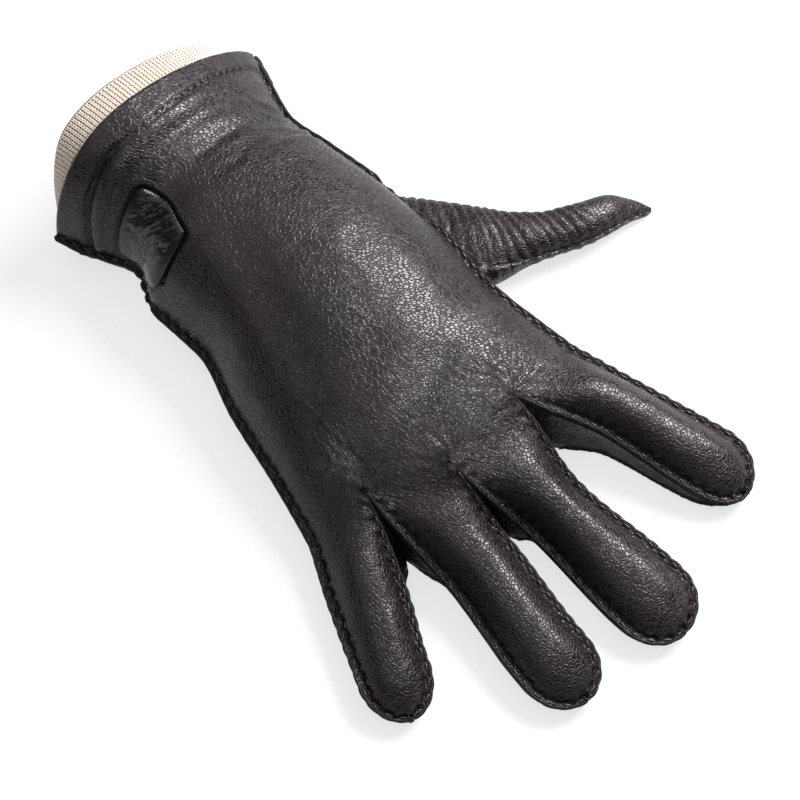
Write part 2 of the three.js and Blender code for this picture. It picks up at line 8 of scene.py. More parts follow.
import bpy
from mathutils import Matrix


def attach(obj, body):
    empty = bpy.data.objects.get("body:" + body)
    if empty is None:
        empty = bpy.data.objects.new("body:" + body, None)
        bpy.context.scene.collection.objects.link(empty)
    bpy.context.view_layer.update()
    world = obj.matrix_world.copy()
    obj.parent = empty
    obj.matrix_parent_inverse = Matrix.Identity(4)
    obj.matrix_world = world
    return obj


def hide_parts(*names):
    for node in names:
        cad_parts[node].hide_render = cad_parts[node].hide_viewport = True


bl_info = {
    "name": "Deerskin Glove",
    "version": (1, 0, 0),
    "blender": (4, 5, 0),
    "location": "3D View > Sidebar > Glove",
    "description": "A lined deerskin glove with outside seams, built piece by piece over its packed frame",
    "category": "Add Mesh",
}

import math

import bpy
import numpy as np
from mathutils import Vector
from mathutils.kdtree import KDTree

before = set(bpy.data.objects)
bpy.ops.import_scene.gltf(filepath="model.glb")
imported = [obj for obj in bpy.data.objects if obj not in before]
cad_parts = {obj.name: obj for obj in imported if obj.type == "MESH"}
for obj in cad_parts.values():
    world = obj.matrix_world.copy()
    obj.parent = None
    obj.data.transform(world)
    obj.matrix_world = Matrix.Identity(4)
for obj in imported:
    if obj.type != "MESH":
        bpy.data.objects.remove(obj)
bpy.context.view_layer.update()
CENTRING = np.array([-1.2, -0.475, 0.0])  # from the tables' origin to the middle of the glove's box

# Tables of seams

HAND = {  # the hand's cross-sections from the cuff's edge to the knuckles
    "at": [0.0, 0.09, 0.2, 0.32, 0.48, 0.66, 0.84, 1.0],
    "left_x": [-50, -46.5, -40.5, -46.8, -47.3, -56.3, -64, -71],
    "left_y": [120, 108, 92, 77, 55, 29, 2, -20],
    "left_z": [14, 12.5, 11, 11, 11, 11, 11, 9.5],
    "right_x": [45.8, 41.5, 35.7, 36.4, 37.6, 38, 34, 35.3],
    "right_y": [120, 108.5, 90.5, 75.5, 54, 26, -5, -36],
    "right_z": [15, 15, 16, 18, 18.5, 17.5, 16, 14],
    "crown": [53.5, 51, 43, 44, 44, 42, 37, 31],
    "lean": [0.36, 0.33, 0.22, 0.15, 0.1, 0.05, 0, 0],
}
SLITS = [  # bottoms of the slits between the fingers: x, y, z on the back, and x, y on the palm side
    ("little_ring", -50.2, -22.6, 26.1, -52.5, -41),
    ("ring_middle", -26.1, -36.4, 30.9, -25, -58),
    ("middle_index", 5, -36.4, 29, 6, -46.5),
]
FINGERS = [  # little, ring, middle and index, with widths, heights and tucks at stations along each
    dict(tip=(-90.3, -79.8), left=(10.6, 10.6), right=(11.2, 9.4), left_z=(8, 7.5), right_z=(11, 8),
         crown=(25, 18, 14), tuck=(0, -0.6)),
    dict(tip=(-49.2, -115.8), left=(8.8, 11.4), right=(13.6, 11.4), left_z=(11, 8), right_z=(11, 8),
         crown=(29, 20, 15), tuck=(1.5, 0.5)),
    dict(tip=(-11.6, -124.3), left=(9.6, 11.9), right=(11.6, 13.4), left_z=(11, 8), right_z=(11, 8),
         crown=(30, 21, 15), tuck=(1.5, 0.5)),
    dict(tip=(39.2, -109), left=(7, 8.6), right=(13.8, 13.2), left_z=(16, 9), right_z=(12, 9),
         crown=(30, 23, 16), tuck=(-1, 0)),
]
ALONG_FINGER = [0, 0.4, 0.8, 1]  # the stations, as shares of a finger's length
ARCH_POWER = 2.3  # how square the arch of the back is
TIP_Z = 5.5
TIP_ROUND = 13.0
KNUCKLE_REACH = 20.0  # over how much of its length a finger takes its own round shape
THUMB = {  # the thumb's cross-sections from inside the hand to the tip
    "x": [14, 25.6, 37.4, 48.3, 58.3, 68.5, 78.8, 87.1, 94.2, 100],
    "y": [45, 33.4, 21.3, 11.2, 4.4, -1.9, -7.1, -10.2, -14.2, -18.9],
    "wide": [22.5, 20.7, 17.8, 13.9, 9.3, 7.4, 7.0, 6.1, 3.7, 0.5],
    "high": [7.6, 8, 8.5, 8.6, 8.3, 7.4, 7.0, 6.1, 3.9, 1.6],
}
FOLDS = [  # broad ridges and valleys of the back: x, y, angle, half length, half width, height
    (-2, 103, 0, 42, 3, -1.6),
    (-43, 92, 95, 9, 4, -1.5),
    (26, 88, 20, 16, 6, -1.2),
    (24, 77, 10, 12, 4, 0.8),
    (24, 4, 60, 16, 6, -1.0),
    (-30, 34, 70, 34, 9, -2.4),
    (-12, -16, 20, 26, 7, -1.6),
]
CREASES = [  # fine creases of the back: from x, y to x, y, bend, half width, depth
    (-49, -23, -36, -28, 3, 0.8, 0.8),
    (-36, -28, -27, -35, -1, 0.8, 0.8),
    (-48, -21, -62, -19, -3, 0.9, 0.6),
    (-48, -25, -60, -29, -2, 0.8, 0.5),
    (-47, -19, -60, -11, -2, 0.9, 0.4),
    (-45, -18, -42, 0, 2, 0.9, 0.4),
    (5, -35, -12, -26, 2, 0.8, 0.6),
    (5, -34, -9, -18, 2, 0.7, 0.5),
    (6, -33, -3, -12, 1, 0.7, 0.5),
    (7, -33, 4, -14, -1, 0.7, 0.4),
    (8, -34, 14, -19, -2, 0.7, 0.5),
    (9, -36, 24, -30, -2, 0.8, 0.6),
    (10, -38, 22, -38, 2, 0.8, 0.5),
    (4, -38, -12, -37, 1, 0.8, 0.5),
    (-26, -35, -30, -20, 2, 0.7, 0.4),
    (-25, -35, -21, -22, 1, 0.7, 0.4),
    (-24, -36, -12, -28, 1, 0.8, 0.5),
    (-23, -38, -12, -40, 1, 0.8, 0.4),
    (30, 2, 20, 14, 2, 1.0, 0.4),
    (33, 5, 25, 20, 2, 1.0, 0.4),
    (31, -8, 19, -4, -2, 0.9, 0.4),
    (34, 84, 10, 93, 3, 1.6, 1.1),
    (35, 79, 14, 80, -2, 1.5, 1.0),
    (34, 88, 16, 101, 2, 1.4, 0.9),
    (33, 92, 20, 110, 1, 1.2, 0.6),
    (12, 93, -12, 97, 2, 1.4, 0.6),
    (8, 84, -14, 84, 1, 1.4, 0.6),
    (-40, 90, -28, 80, -3, 1.6, 0.7),
    (-45, 74, -22, 66, 3, 1.8, 0.8),
]

HEM_FOLD = {  # the line where the turned hem is sewn down, from the left
    "x": [-60, -47.6, -41.7, -30.3, -14, 4, 33, 50],
    "y": [100.5, 106.4, 110.6, 111.8, 109.8, 110.8, 112.6, 112],
}
CUFF_EDGE = HAND["left_y"][0]
HEM_START = HAND["left_y"][1] - 1
HEM_EXTRA = 0.9  # how much thicker the turned hem makes the leather
HEM_ROUND = 1.1  # radius of the cuff's edge
HEM_GROOVE = 0.95  # how deep the hem's stitches pull the leather
WRIST_GATHER = 7.5  # from one gather across the wrist to the next
CREASE_SHARE = 0.55  # how much of their listed depth the creases get

SEAM_CURL = 0.7  # how far the raw edges of the seams turn up
PALM_CURL = 1.25  # and those of the palm panel
SEAM_SQUEEZE = 0.25  # share by which the stitches thin the leather
SCALLOP = 0.05  # share by which the raw edge is wider at each stitch
RAGGED = 0.08  # share by which the cut wanders
PINCH = 0.28  # how deep each stitch pulls the raw edge
EDGE_STEPS = 4  # steps across a raw edge
SLIT_REACH = 14.0  # over which the raw edge grows out of a slit
RIM_STEPS, STRIP_STEPS = 3, 12  # steps across a fourchette's raw edges and its height
STITCHED_WIDTH = 0.58  # narrowest raw edge that shows stitches
STITCH_SHARE = 0.62  # length of a stitch, as a share of the pitch
HEM_STITCHES = (0.36, 0.93, 0.034)  # the hem's stitches, as shares of the cuff's width: from, to, step
HEM_STITCH_HEIGHT, HEM_STITCH_LENGTH = 0.8, 1.7
HEM_THREAD = 0.34  # radius

PATCH_MIDDLE = (0.236, 0.122)  # along and across the hand, as shares
PATCH_HALF = (0.09, 0.1)
PATCH_SLANT = 0.012
PATCH_DOME = 1.75
PATCH_SUNK = 0.6  # how deep the patch is set into the back

THUMB_RING = 3.7  # from one ring of folds to the next
THUMB_EDGE = 1.0  # width of the thumb seam's raw edge
THUMB_ROWS, THUMB_SIDES = 260, 112
SEAM_TURN = 0.16  # radians on each side of the thumb's seam where its mesh is finer
KNIT_COLUMNS = 240
KNIT_COURSE = 1.15  # from one row of loops to the next
LEG_LENGTH, LEG_RADIUS = 1.5, 0.34  # of a loop's two legs
LEG_APART, LEG_LEAN = 0.2, 0.4  # share of a rib's width from its middle, and how far they lean

# The studio, in metres, watts and radians

PAPER_GLOW = 0.7
ROOM_LIGHT = 0.13
LIGHTS = [  # name, place, what it points at, width and height, watts, colour
    ("window", (0.56, -0.05, 0.53), (0.02, 0, 0), (0.46, 0.34), 12.5, (1.0, 0.945, 1.0)),
    ("ceiling", (0.05, 0.1, 1.1), (0.0, 0, 0), (1.9, 1.9), 10.5, (1.0, 0.95, 1.0)),
]
CAMERA_LENS = 94.39  # millimetres
CAMERA_RISE = math.radians(66)
CAMERA_TURN = math.radians(47.4)
CAMERA_TARGET = (-0.0172, -0.007475, 0.013)
CAMERA_REACH = 0.688

# Small maths


def ease(t):
    t = np.clip(t, 0, 1)
    return t * t * (3 - 2 * t)


def bell(distance, width):
    return np.exp(-((distance / width) ** 2))


def curve_through(stations, values, at):
    """A smooth curve through values at the stations, flat where neighbours would make it overshoot."""
    x = np.asarray(stations, float)
    y = np.asarray(values, float)
    at = np.asarray(at, float)
    slope = np.diff(y) / np.diff(x)
    product = slope[:-1] * slope[1:]
    total = np.where(product > 0, slope[:-1] + slope[1:], 1)
    tangent = np.concatenate([slope[:1], np.where(product > 0, 2 * product / total, 0), slope[-1:]])
    i = np.clip(np.searchsorted(x, at) - 1, 0, len(x) - 2)
    span = x[i + 1] - x[i]
    t = np.clip((at - x[i]) / span, 0, 1)
    t2, t3 = t * t, t * t * t
    return (
        (2 * t3 - 3 * t2 + 1) * y[i]
        + (t3 - 2 * t2 + t) * span * tangent[i]
        + (3 * t2 - 2 * t3) * y[i + 1]
        + (t3 - t2) * span * tangent[i + 1]
    )


def hand(key, at):
    return curve_through(HAND["at"], HAND[key], at)


def lattice_noise(points, size, seed):
    """Smooth noise from -1 to 1, with lumps of the given size in millimetres."""
    p = np.asarray(points, float) / size
    cell = np.floor(p).astype(np.int64)
    f = p - cell
    f = f * f * (3 - 2 * f)
    total = 0
    for corner in range(8):
        step = np.array([corner & 1, corner >> 1 & 1, corner >> 2 & 1])
        k = cell + step
        key = (k[..., 0] * 73856093) ^ (k[..., 1] * 19349663) ^ (k[..., 2] * 83492791) ^ (seed * 40503)
        key = (key ^ (key >> 13)) * 1274126177
        key = (key ^ (key >> 16)) & 0xFFFF
        weight = np.prod(np.where(step == 1, f, 1 - f), axis=-1)
        total = total + weight * (key / 32767.5 - 1)
    return total


def back_rise(u, root=0.62):
    """Height across an arch, from 0 at the seams to 1 in the middle."""
    return np.maximum(0, 1 - np.abs(u) ** ARCH_POWER) ** root


def before_seam(u, flat):
    """Place across a panel with the last bit before each seam left level: flat is that bit's share."""
    return np.clip(u / (1 - flat), -1, 1)


def rim_rise(u, flat):
    """Height across the palm: none where it lies flat, and a quarter circle up to 1 at the seams."""
    return 1 - np.sqrt(np.maximum(0, 1 - (np.maximum(0, np.abs(u) - flat) / (1 - flat)) ** 2))


def unit(v):
    return v / np.maximum(1e-9, np.linalg.norm(v, axis=-1, keepdims=True))


def stack(x, y, z):
    return np.stack(np.broadcast_arrays(x, y, z), axis=-1).astype(float)


# The fingers' edges


def root_point(i, panel="back"):
    """Where finger i starts on its left: the hand's corner, or the bottom of a slit."""
    if i == 0:
        return np.array([HAND["left_x"][-1], HAND["left_y"][-1], HAND["left_z"][-1]], float)
    if i == 4:
        return np.array([HAND["right_x"][-1], HAND["right_y"][-1], HAND["right_z"][-1]], float)
    _, x, y, z, palm_x, palm_y = SLITS[i - 1]
    return np.array([x, y, z] if panel == "back" else [palm_x, palm_y, z], float)


def finger_line(i):
    """A finger's root, its length, its direction, and the level direction across it."""
    root = (root_point(i) + root_point(i + 1)) / 2
    along = np.array([*FINGERS[i]["tip"], 0.0]) - root
    root[2] = along[2] = 0
    length = np.linalg.norm(along)
    along = along / length
    return root, length, along, np.array([-along[1], along[0], 0])


def hem_leather(y, sizes):
    """Thickness of the leather, which the turned hem adds to."""
    return sizes.leather * 1e3 + HEM_EXTRA * ease((y - HEM_START) / 2)


def seam_thinning(vertices, seam):
    """Share of the leather's thickness that is left where it is squeezed in a seam."""
    near = near_line(vertices, seam["line"][seam["wide"] > 0.3])[0]
    return 1 - SEAM_SQUEEZE * ease((2.5 - near) / 1.5)


def hem_round(y):
    """1 inside the glove, falling to 0 in a quarter circle over the last bit before the cuff's edge."""
    short = np.clip((CUFF_EDGE - y) / HEM_ROUND, 0, 1)
    return np.sqrt(np.maximum(0.02, 1 - (1 - short) ** 2))


def back_edge(i, side, s):
    """A finger's seam on side -1 or 1, from the knuckles at 0 to the tip at 1."""
    finger = FINGERS[i]
    root, length, along, right = finger_line(i)
    start = root_point(i if side < 0 else i + 1)
    flat = start - root
    flat[2] = 0
    root_offset = flat @ right * side
    offsets = finger["left" if side < 0 else "right"]
    heights = finger["left_z" if side < 0 else "right_z"]
    s = np.asarray(s, float)
    begin = 1 - TIP_ROUND / length
    cap = np.sqrt(np.maximum(0, 1 - (np.maximum(0, s - begin) / (1 - begin)) ** 2))
    offset = curve_through(ALONG_FINGER, [root_offset, *offsets, offsets[1]], s) * cap
    point = root + along * (length * s)[..., None] + right * (side * offset)[..., None]
    lead = flat - right * side * root_offset
    point = point + lead * (1 - ease(s / 0.4))[..., None]
    point[..., 2] = curve_through(ALONG_FINGER, [start[2], *heights, TIP_Z], s)
    return point


def faces_neighbour(i, side):
    """Whether there is another finger on that side."""
    return i > 0 if side < 0 else i < 3


def seam_drop(y, sizes):
    """How far the palm's outer face is below the back's where the two are sewn together."""
    return 2 * hem_leather(y, sizes) + sizes.seam_gap * 1e3


def palm_edge(i, side, s, sizes):
    """The palm panel's edge: just under the outer seams, and down beside the foot of a fourchette."""
    s = np.asarray(s, float)
    point = back_edge(i, side, s)
    if not faces_neighbour(i, side):
        point[..., 2] -= seam_drop(point[..., 1], sizes)
        return point
    right = finger_line(i)[3]
    tuck = FINGERS[i]["tuck"][0 if side < 0 else 1] * ease(s / 0.4) * ease((1 - s) / 0.25)
    edge = i if side < 0 else i + 1
    shift = root_point(edge, "palm") - root_point(edge)
    shift[2] = 0
    point = point + shift * (1 - ease(s / 0.45))[..., None] - right * (side * tuck)[..., None]
    tip = TIP_Z - 2 * sizes.leather * 1e3 - sizes.seam_gap * 1e3
    point[..., 2] = curve_through([0, 0.5, 0.82, 0.94, 1], [1.6, 1, 1, tip, tip], s)
    return point


# Where the slits fall across the knuckles, as shares of the hand's width
_roots = np.array([root_point(i)[:2] for i in range(5)])
SHARES = np.concatenate([[0], np.cumsum(np.linalg.norm(np.diff(_roots, axis=0), axis=1))])
SHARES = SHARES / SHARES[-1]

# The two panels' outer faces


def fold_height(x, y):
    height = 0
    for fx, fy, angle, length, width, rise in FOLDS:
        c, s = math.cos(math.radians(angle)), math.sin(math.radians(angle))
        along = ((x - fx) * c + (y - fy) * s) / length
        across = ((y - fy) * c - (x - fx) * s) / width
        height = height + rise * np.exp(-along * along - across * across)
    return height


def back_finger(i, s, v):
    left, right = back_edge(i, -1, s), back_edge(i, 1, s)
    point = left + (right - left) * ((v + 1) / 2)[..., None]
    crown = curve_through(ALONG_FINGER, [*FINGERS[i]["crown"], TIP_Z + 4], s)
    tip_flat = np.sqrt(np.maximum(0, 1 - np.clip((s - 0.86) / 0.14, 0, 1) ** 2))
    mean = (left[..., 2] + right[..., 2]) / 2
    level = 0.07 * ease(s / 0.12)
    rise = back_rise(before_seam(v, level), 0.62 + 0.2 * ease(s / 0.25)[()]) * tip_flat
    arched = np.maximum(0, crown - mean) * rise + fold_height(point[..., 0], point[..., 1]) * rise
    share = (v + 1) / 2
    knuckles = over_hand(np.ones_like(v), SHARES[i] + (SHARES[i + 1] - SHARES[i]) * share)
    roots = root_point(i)[2] * (1 - share) + root_point(i + 1)[2] * share
    grown = ease(s * finger_line(i)[1] / KNUCKLE_REACH)
    point[..., 2] += arched * grown + (knuckles - roots) * (1 - grown)
    return point


def palm_finger(i, s, v, sizes):
    left, right = palm_edge(i, -1, s, sizes), palm_edge(i, 1, s, sizes)
    point = left + (right - left) * ((v + 1) / 2)[..., None]
    point[..., 2] = np.where(v < 0, left[..., 2], right[..., 2]) * rim_rise(v, 0.5)
    return point


def finger_at(c):
    """Which finger is ahead of a place across the hand, and the place across that finger."""
    i = np.clip(np.searchsorted(SHARES, c - 1e-9, side="right") - 1, 0, 3)
    return i, 2 * (c - SHARES[i]) / (SHARES[i + 1] - SHARES[i]) - 1


def hand_plan(r, c, panel):
    """A panel's plan: r runs from the cuff to the knuckles, and c from left to right."""
    roots = np.array([root_point(k, panel) for k in range(5)])
    roots[:, 2] = 0
    i, v = finger_at(c)
    share = ((v + 1) / 2)[..., None]
    knuckles = roots[i] * (1 - share) + roots[i + 1] * share
    cc = c[..., None]
    straight = roots[0] * (1 - cc) + roots[4] * cc
    left = stack(hand("left_x", r), hand("left_y", r), 0.0)
    right = stack(hand("right_x", r), hand("right_y", r), 0.0)
    return left * (1 - cc) + right * cc + (knuckles - straight) * (r**4)[..., None]


def over_hand(r, c):
    """Height of the back's smooth arch over the hand."""
    u = 2 * c - 1
    seam = hand("left_z", r) * (1 - c) + hand("right_z", r) * c
    lean = hand("lean", r)
    rise = back_rise(before_seam(u, 0.026 * ease(r / 0.1)))
    return seam + (hand("crown", r) - seam) * rise * (1 - lean * u) / (1 + 0.17 * lean)


def at_knuckles(c, finger_z):
    """Heights of the fingers' first row, which the hand's last row meets."""
    i, v = finger_at(c)
    z = np.zeros_like(c)
    for k in range(4):
        inside = i == k
        z[inside] = finger_z(k, np.zeros(inside.sum()), v[inside])[..., 2]
    return z


def back_hand(r, c):
    r, c = np.broadcast_arrays(np.asarray(r, float), np.asarray(c, float))
    point = hand_plan(r, c, "back")
    folds = fold_height(point[..., 0], point[..., 1]) * back_rise(2 * c - 1) * ease((1 - r) / 0.13)
    point[..., 2] = over_hand(r, c) + folds
    return point


def palm_hand(r, c, sizes):
    r, c = np.broadcast_arrays(np.asarray(r, float), np.asarray(c, float))
    point = hand_plan(r, c, "palm")
    u = 2 * c - 1
    seam = np.where(u < 0, hand("left_z", r), hand("right_z", r)) - seam_drop(point[..., 1], sizes)
    knuckles = at_knuckles(c, lambda k, s, v: palm_finger(k, s, v, sizes))
    blend = bell(1 - r, 0.08)
    point[..., 2] = seam * rim_rise(u, 0.68) * (1 - blend) + knuckles * blend
    return point


# Meshes


def places(count):
    """Places across a finger, spaced evenly round its arch."""
    a = np.linspace(-math.pi / 2, math.pi / 2, count + 1)
    return np.sign(a) * np.abs(np.sin(a)) ** (2 / ARCH_POWER)


def panel_grid(hand_face, finger_face, rows, finger_rows, columns, looks_up):
    """Vertices and quads of a panel's outer face: the hand's grid and four fingers' grids that share its last
    row. Returns also each vertex's place on the hand, along and across it, which is 9 on a finger."""
    across = places(columns)
    shares = [np.array([0.0])]
    for i in range(4):
        shares.append(SHARES[i] + (SHARES[i + 1] - SHARES[i]) * (across[1:] + 1) / 2)
    shares = np.concatenate(shares)
    steps = np.concatenate([[0, 0.0006, 0.0016, 0.003, 0.0048, 0.0072], np.linspace(0.0115, 1, rows)])
    r, c = np.meshgrid(steps, shares, indexing="ij")
    vertices = [hand_face(r, c).reshape(-1, 3)]
    where = [np.stack([r.ravel(), c.ravel()], axis=1)]
    index = np.arange(r.size).reshape(r.shape)
    quads = [grid_quads(index)]
    straight = np.linspace(0, 0.86, int(finger_rows * 0.8) + 1)
    tip = 0.86 + 0.1395 * np.sin(np.linspace(0, math.pi / 2, finger_rows - len(straight) + 2))[1:]
    stations = np.concatenate([straight, tip])
    count = index.size
    for i in range(4):
        s, v = np.meshgrid(stations[1:], across, indexing="ij")
        vertices.append(finger_face(i, s, v).reshape(-1, 3))
        where.append(np.full((s.size, 2), 9.0))
        own = np.arange(s.size).reshape(s.shape) + count
        count += s.size
        start = index[-1, i * columns : (i + 1) * columns + 1]
        quads.append(grid_quads(np.vstack([start, own])))
    quads = np.concatenate(quads)
    return np.concatenate(vertices), quads if looks_up else quads[:, ::-1], np.concatenate(where)


def grid_quads(index):
    return np.stack([index[:-1, :-1], index[1:, :-1], index[1:, 1:], index[:-1, 1:]], axis=-1).reshape(-1, 4)


def as_triangles(faces):
    if faces.shape[1] == 3:
        return faces
    return np.concatenate([faces[:, [0, 1, 2]], faces[:, [0, 2, 3]]])


def vertex_normals(vertices, faces):
    tri = as_triangles(faces)
    a, b, c = vertices[tri[:, 0]], vertices[tri[:, 1]], vertices[tri[:, 2]]
    normal = np.cross(b - a, c - a)
    total = np.zeros_like(vertices)
    for k in range(3):
        np.add.at(total, tri[:, k], normal)
    return unit(total)


def open_loop(faces):
    """The face's open edge as one ordered ring of vertices, in the faces' own order."""
    a = faces.ravel()
    b = np.roll(faces, -1, axis=1).ravel()
    big = int(faces.max()) + 1
    keys = a.astype(np.int64) * big + b
    back = b.astype(np.int64) * big + a
    lone = ~np.isin(keys, back)
    following = dict(zip(a[lone].tolist(), b[lone].tolist()))
    first = next(iter(following))
    ring = [first]
    while following[ring[-1]] != first:
        ring.append(following[ring[-1]])
    return np.array(ring)


def arc_lengths(points):
    return np.concatenate([[0], np.cumsum(np.linalg.norm(np.diff(points, axis=0), axis=1))])


def smoothed(values, times):
    for _ in range(times):
        values = (np.roll(values, 1, axis=0) + 2 * values + np.roll(values, -1, axis=0)) / 4
    return values


def seam_frame(points, looks_up):
    """Tangent and outward direction, level with the table, all along a closed seam."""
    tangent = unit(smoothed(np.roll(points, -1, axis=0) - np.roll(points, 1, axis=0), 3))
    flat = tangent.copy()
    flat[:, 2] = 0
    flat = unit(flat)
    out = stack(flat[:, 1], -flat[:, 0], 0.0) * (1 if looks_up else -1)
    return tangent, out


def with_seam_edge(vertices, faces, width, looks_up, curl, pitch):
    """Adds the seam's raw edge, which stands outwards. Returns the new face and the seam's own line."""
    ring = open_loop(faces)
    line = vertices[ring]
    tangent, out = seam_frame(line, looks_up)
    run = arc_lengths(line)
    wave = np.cos(2 * math.pi * run / pitch)
    wide = width(line)
    wide = wide * (1 + SCALLOP * wave * (wide > 0.6)) * (1 + RAGGED * lattice_noise(line, 2.6, 5))
    solid = wide > 0.05
    rings, parts = [ring], [vertices]
    count = len(vertices)
    for share in np.linspace(0, 1, EDGE_STEPS + 1)[1:]:
        point = line + out * (wide * share)[:, None]
        pinch = PINCH * wave * np.clip(wide / 1.5, 0, 1) ** 2 * math.sin(math.pi * share)
        point[:, 2] += curl * share * share * np.clip(wide, 0, 1) + pinch * (1 if looks_up else -1)
        rings.append(np.where(solid, np.arange(len(ring)) + count, ring))
        parts.append(point)
        count += len(ring)
    strips = []
    for inner, outer in zip(rings, rings[1:]):
        strips.append(np.stack([np.roll(inner, -1), inner, outer, np.roll(outer, -1)], axis=-1))
    edge = as_triangles(np.concatenate(strips))
    a, b, c = edge.T
    edge = edge[(a != b) & (b != c) & (c != a)]
    seam = dict(line=line, tangent=tangent, out=out, run=run, wide=wide)
    return np.concatenate(parts), np.concatenate([as_triangles(faces), edge]), seam


def drop_unused(vertices, faces):
    used = np.unique(faces)
    place = np.full(len(vertices), -1)
    place[used] = np.arange(len(used))
    return vertices[used], place[faces]


def closed_skin(outer, inner, faces):
    """A closed skin from a face and its copy further in, with a wall along the open edge. Returns also which
    of its faces are the wall's."""
    n = len(outer)
    ring = open_loop(faces)
    following = np.roll(ring, -1)
    wall = as_triangles(np.stack([following, ring, ring + n, following + n], axis=-1))
    triangles = as_triangles(faces)
    body = np.concatenate([triangles, triangles[:, ::-1] + n, wall])
    return np.concatenate([outer, inner]), body, np.arange(len(body)) >= 2 * len(triangles)


def thickened(vertices, faces, thickness):
    """The face made into leather, whose thickness at each vertex a function gives."""
    vertices, faces = drop_unused(vertices, faces)
    inner = vertices - vertex_normals(vertices, faces) * thickness(vertices)[:, None]
    return closed_skin(vertices, inner, faces)


def make_object(name, vertices, faces, finishes, raw=None):
    """A mesh object from the tables' millimetres. raw marks the triangles that have the second finish."""
    mesh = bpy.data.meshes.new(name)
    metres = (vertices + CENTRING) / 1000
    mesh.vertices.add(len(metres))
    mesh.vertices.foreach_set("co", metres.astype(np.float32).ravel())
    mesh.loops.add(faces.size)
    mesh.loops.foreach_set("vertex_index", faces.astype(np.int32).ravel())
    mesh.polygons.add(len(faces))
    mesh.polygons.foreach_set("loop_start", np.arange(0, faces.size, 3, dtype=np.int32))
    mesh.polygons.foreach_set("use_smooth", np.full(len(faces), True))
    if raw is not None:
        mesh.polygons.foreach_set("material_index", raw.astype(np.int32))
    mesh.update(calc_edges=True)
    if mesh.validate():
        print(name, "needed a repair")
    for kind in finishes:
        mesh.materials.append(finish(kind))
    piece = bpy.data.objects.new(name, mesh)
    bpy.context.scene.collection.objects.link(piece)
    return piece


def near_line(points, line):
    """Distance of each point from a line of points, and the place of the nearest one."""
    tree = KDTree(len(line))
    for k, p in enumerate(line):
        tree.insert(p, k)
    tree.balance()
    found = [tree.find(p) for p in points]
    return np.array([f[2] for f in found]), np.array([f[1] for f in found])


# Relief of the back's leather


def crease_depth(x, y):
    """The fine creases, each with the leather raised a little on both sides."""
    depth = np.zeros_like(x)
    for x0, y0, x1, y1, bend, width, deep in CREASES:
        dx, dy = x1 - x0, y1 - y0
        length = math.hypot(dx, dy)
        along = ((x - x0) * dx + (y - y0) * dy) / length**2
        across = ((y - y0) * dx - (x - x0) * dy) / length - bend * 4 * along * (1 - along)
        across = across + 0.5 * np.sin(along * 9 + x0)
        fade = ease(along / 0.12 + 0.3) * ease((1 - along) / 0.6)
        beside = bell(np.abs(across) - 2.2 * width, width)
        depth -= CREASE_SHARE * deep * fade * (bell(across, width) - 0.35 * beside)
    return depth


def slack_relief(points):
    """Slack lumps, and fine ripples that are stronger on the hand than on the fingers."""
    slack = 0.3 * lattice_noise(points * [1, 1, 0.5], 17, 1)
    slack += 0.14 * lattice_noise(points * [1, 1.4, 0.5], 8, 2)
    ripple = 1 - np.abs(lattice_noise(points * [1, 0.55, 0.6] + 3, 5.5, 3))
    on_hand = ease((points[:, 1] + 30) / 20)
    return slack + 0.14 * (ripple**3 - 0.4) * (0.35 + 0.65 * on_hand)


def hem_relief(points):
    """The turned hem with its sewn groove, the cuff's round edge, and the ridge below the hem on the left."""
    x, y = points[:, 0], points[:, 1]
    hem = y - curve_through(HEM_FOLD["x"], HEM_FOLD["y"], x) - 0.25 * lattice_noise(points, 6, 9)
    fold = 0.4 * ease(hem + 0.3) - HEM_GROOVE * bell(hem, 0.65)
    rounded = HEM_ROUND * (1 - hem_round(y)) * (CUFF_EDGE - y < HEM_ROUND)
    left = ease((-x - 18) / 16)
    return fold - rounded + left * (2.1 * bell(hem + 4.4, 2.2) - 1.9 * bell(hem, 1.2))


def wrist_gathers(points):
    """Gathers across the wrist, which the elastic knit inside pulls in."""
    x, y = points[:, 0], points[:, 1]
    strength = 0.4 * bell(y - 90, 11) * (ease((x - 2) / 16) + 0.3 * ease((-x - 20) / 15))
    place = y + 0.25 * x + 2.2 * lattice_noise(points, 12, 11)
    return strength * np.sin(2 * math.pi * place / WRIST_GATHER)


def slit_gathers(points):
    """Shallow gathers that fan out from the bottoms of the slits."""
    height = 0
    wander = 1.2 * lattice_noise(points, 7, 13)
    for _, x, y, *_ in SLITS:
        reach = np.hypot(points[:, 0] - x, points[:, 1] - y)
        turn = np.arctan2(points[:, 1] - y, points[:, 0] - x)
        fan = np.sqrt(np.abs(np.sin(turn * 11 + wander))) - 0.7
        height = height + 0.12 * ease(reach / 5) * bell(np.maximum(0, reach - 8), 12) * fan
    return height


def patch_groove(where):
    """The groove that the patch's seam pulls into the leather round it, and the swelling beside it."""
    a, b = patch_place(where[:, 0], where[:, 1])
    outside = ((a**6 + b**6) ** (1 / 6) - 1) * 12.5
    return 0.3 * bell(outside - 2.2, 1.2) - 0.9 * bell(outside - 0.3, 0.7) - 0.8 * (outside < 0.3)


def back_relief(points, where):
    """How far the back's skin stands off its smooth face."""
    height = slack_relief(points) + crease_depth(points[:, 0], points[:, 1])
    return height + hem_relief(points) + wrist_gathers(points) + slit_gathers(points) + patch_groove(where)


def patch_place(r, c):
    """Place on the patch, from -1 to 1 each way."""
    a = (r - PATCH_MIDDLE[0]) / PATCH_HALF[0]
    return a, (c - PATCH_MIDDLE[1] - PATCH_SLANT * a) / PATCH_HALF[1]


def skin_normal(r, c):
    """Which way the back's smooth face looks at a place on the hand."""
    step = 0.004
    along = back_hand(r + step, c) - back_hand(r - step, c)
    across = back_hand(r, c + step) - back_hand(r, c - step)
    return unit(np.cross(along, across))


# Materials


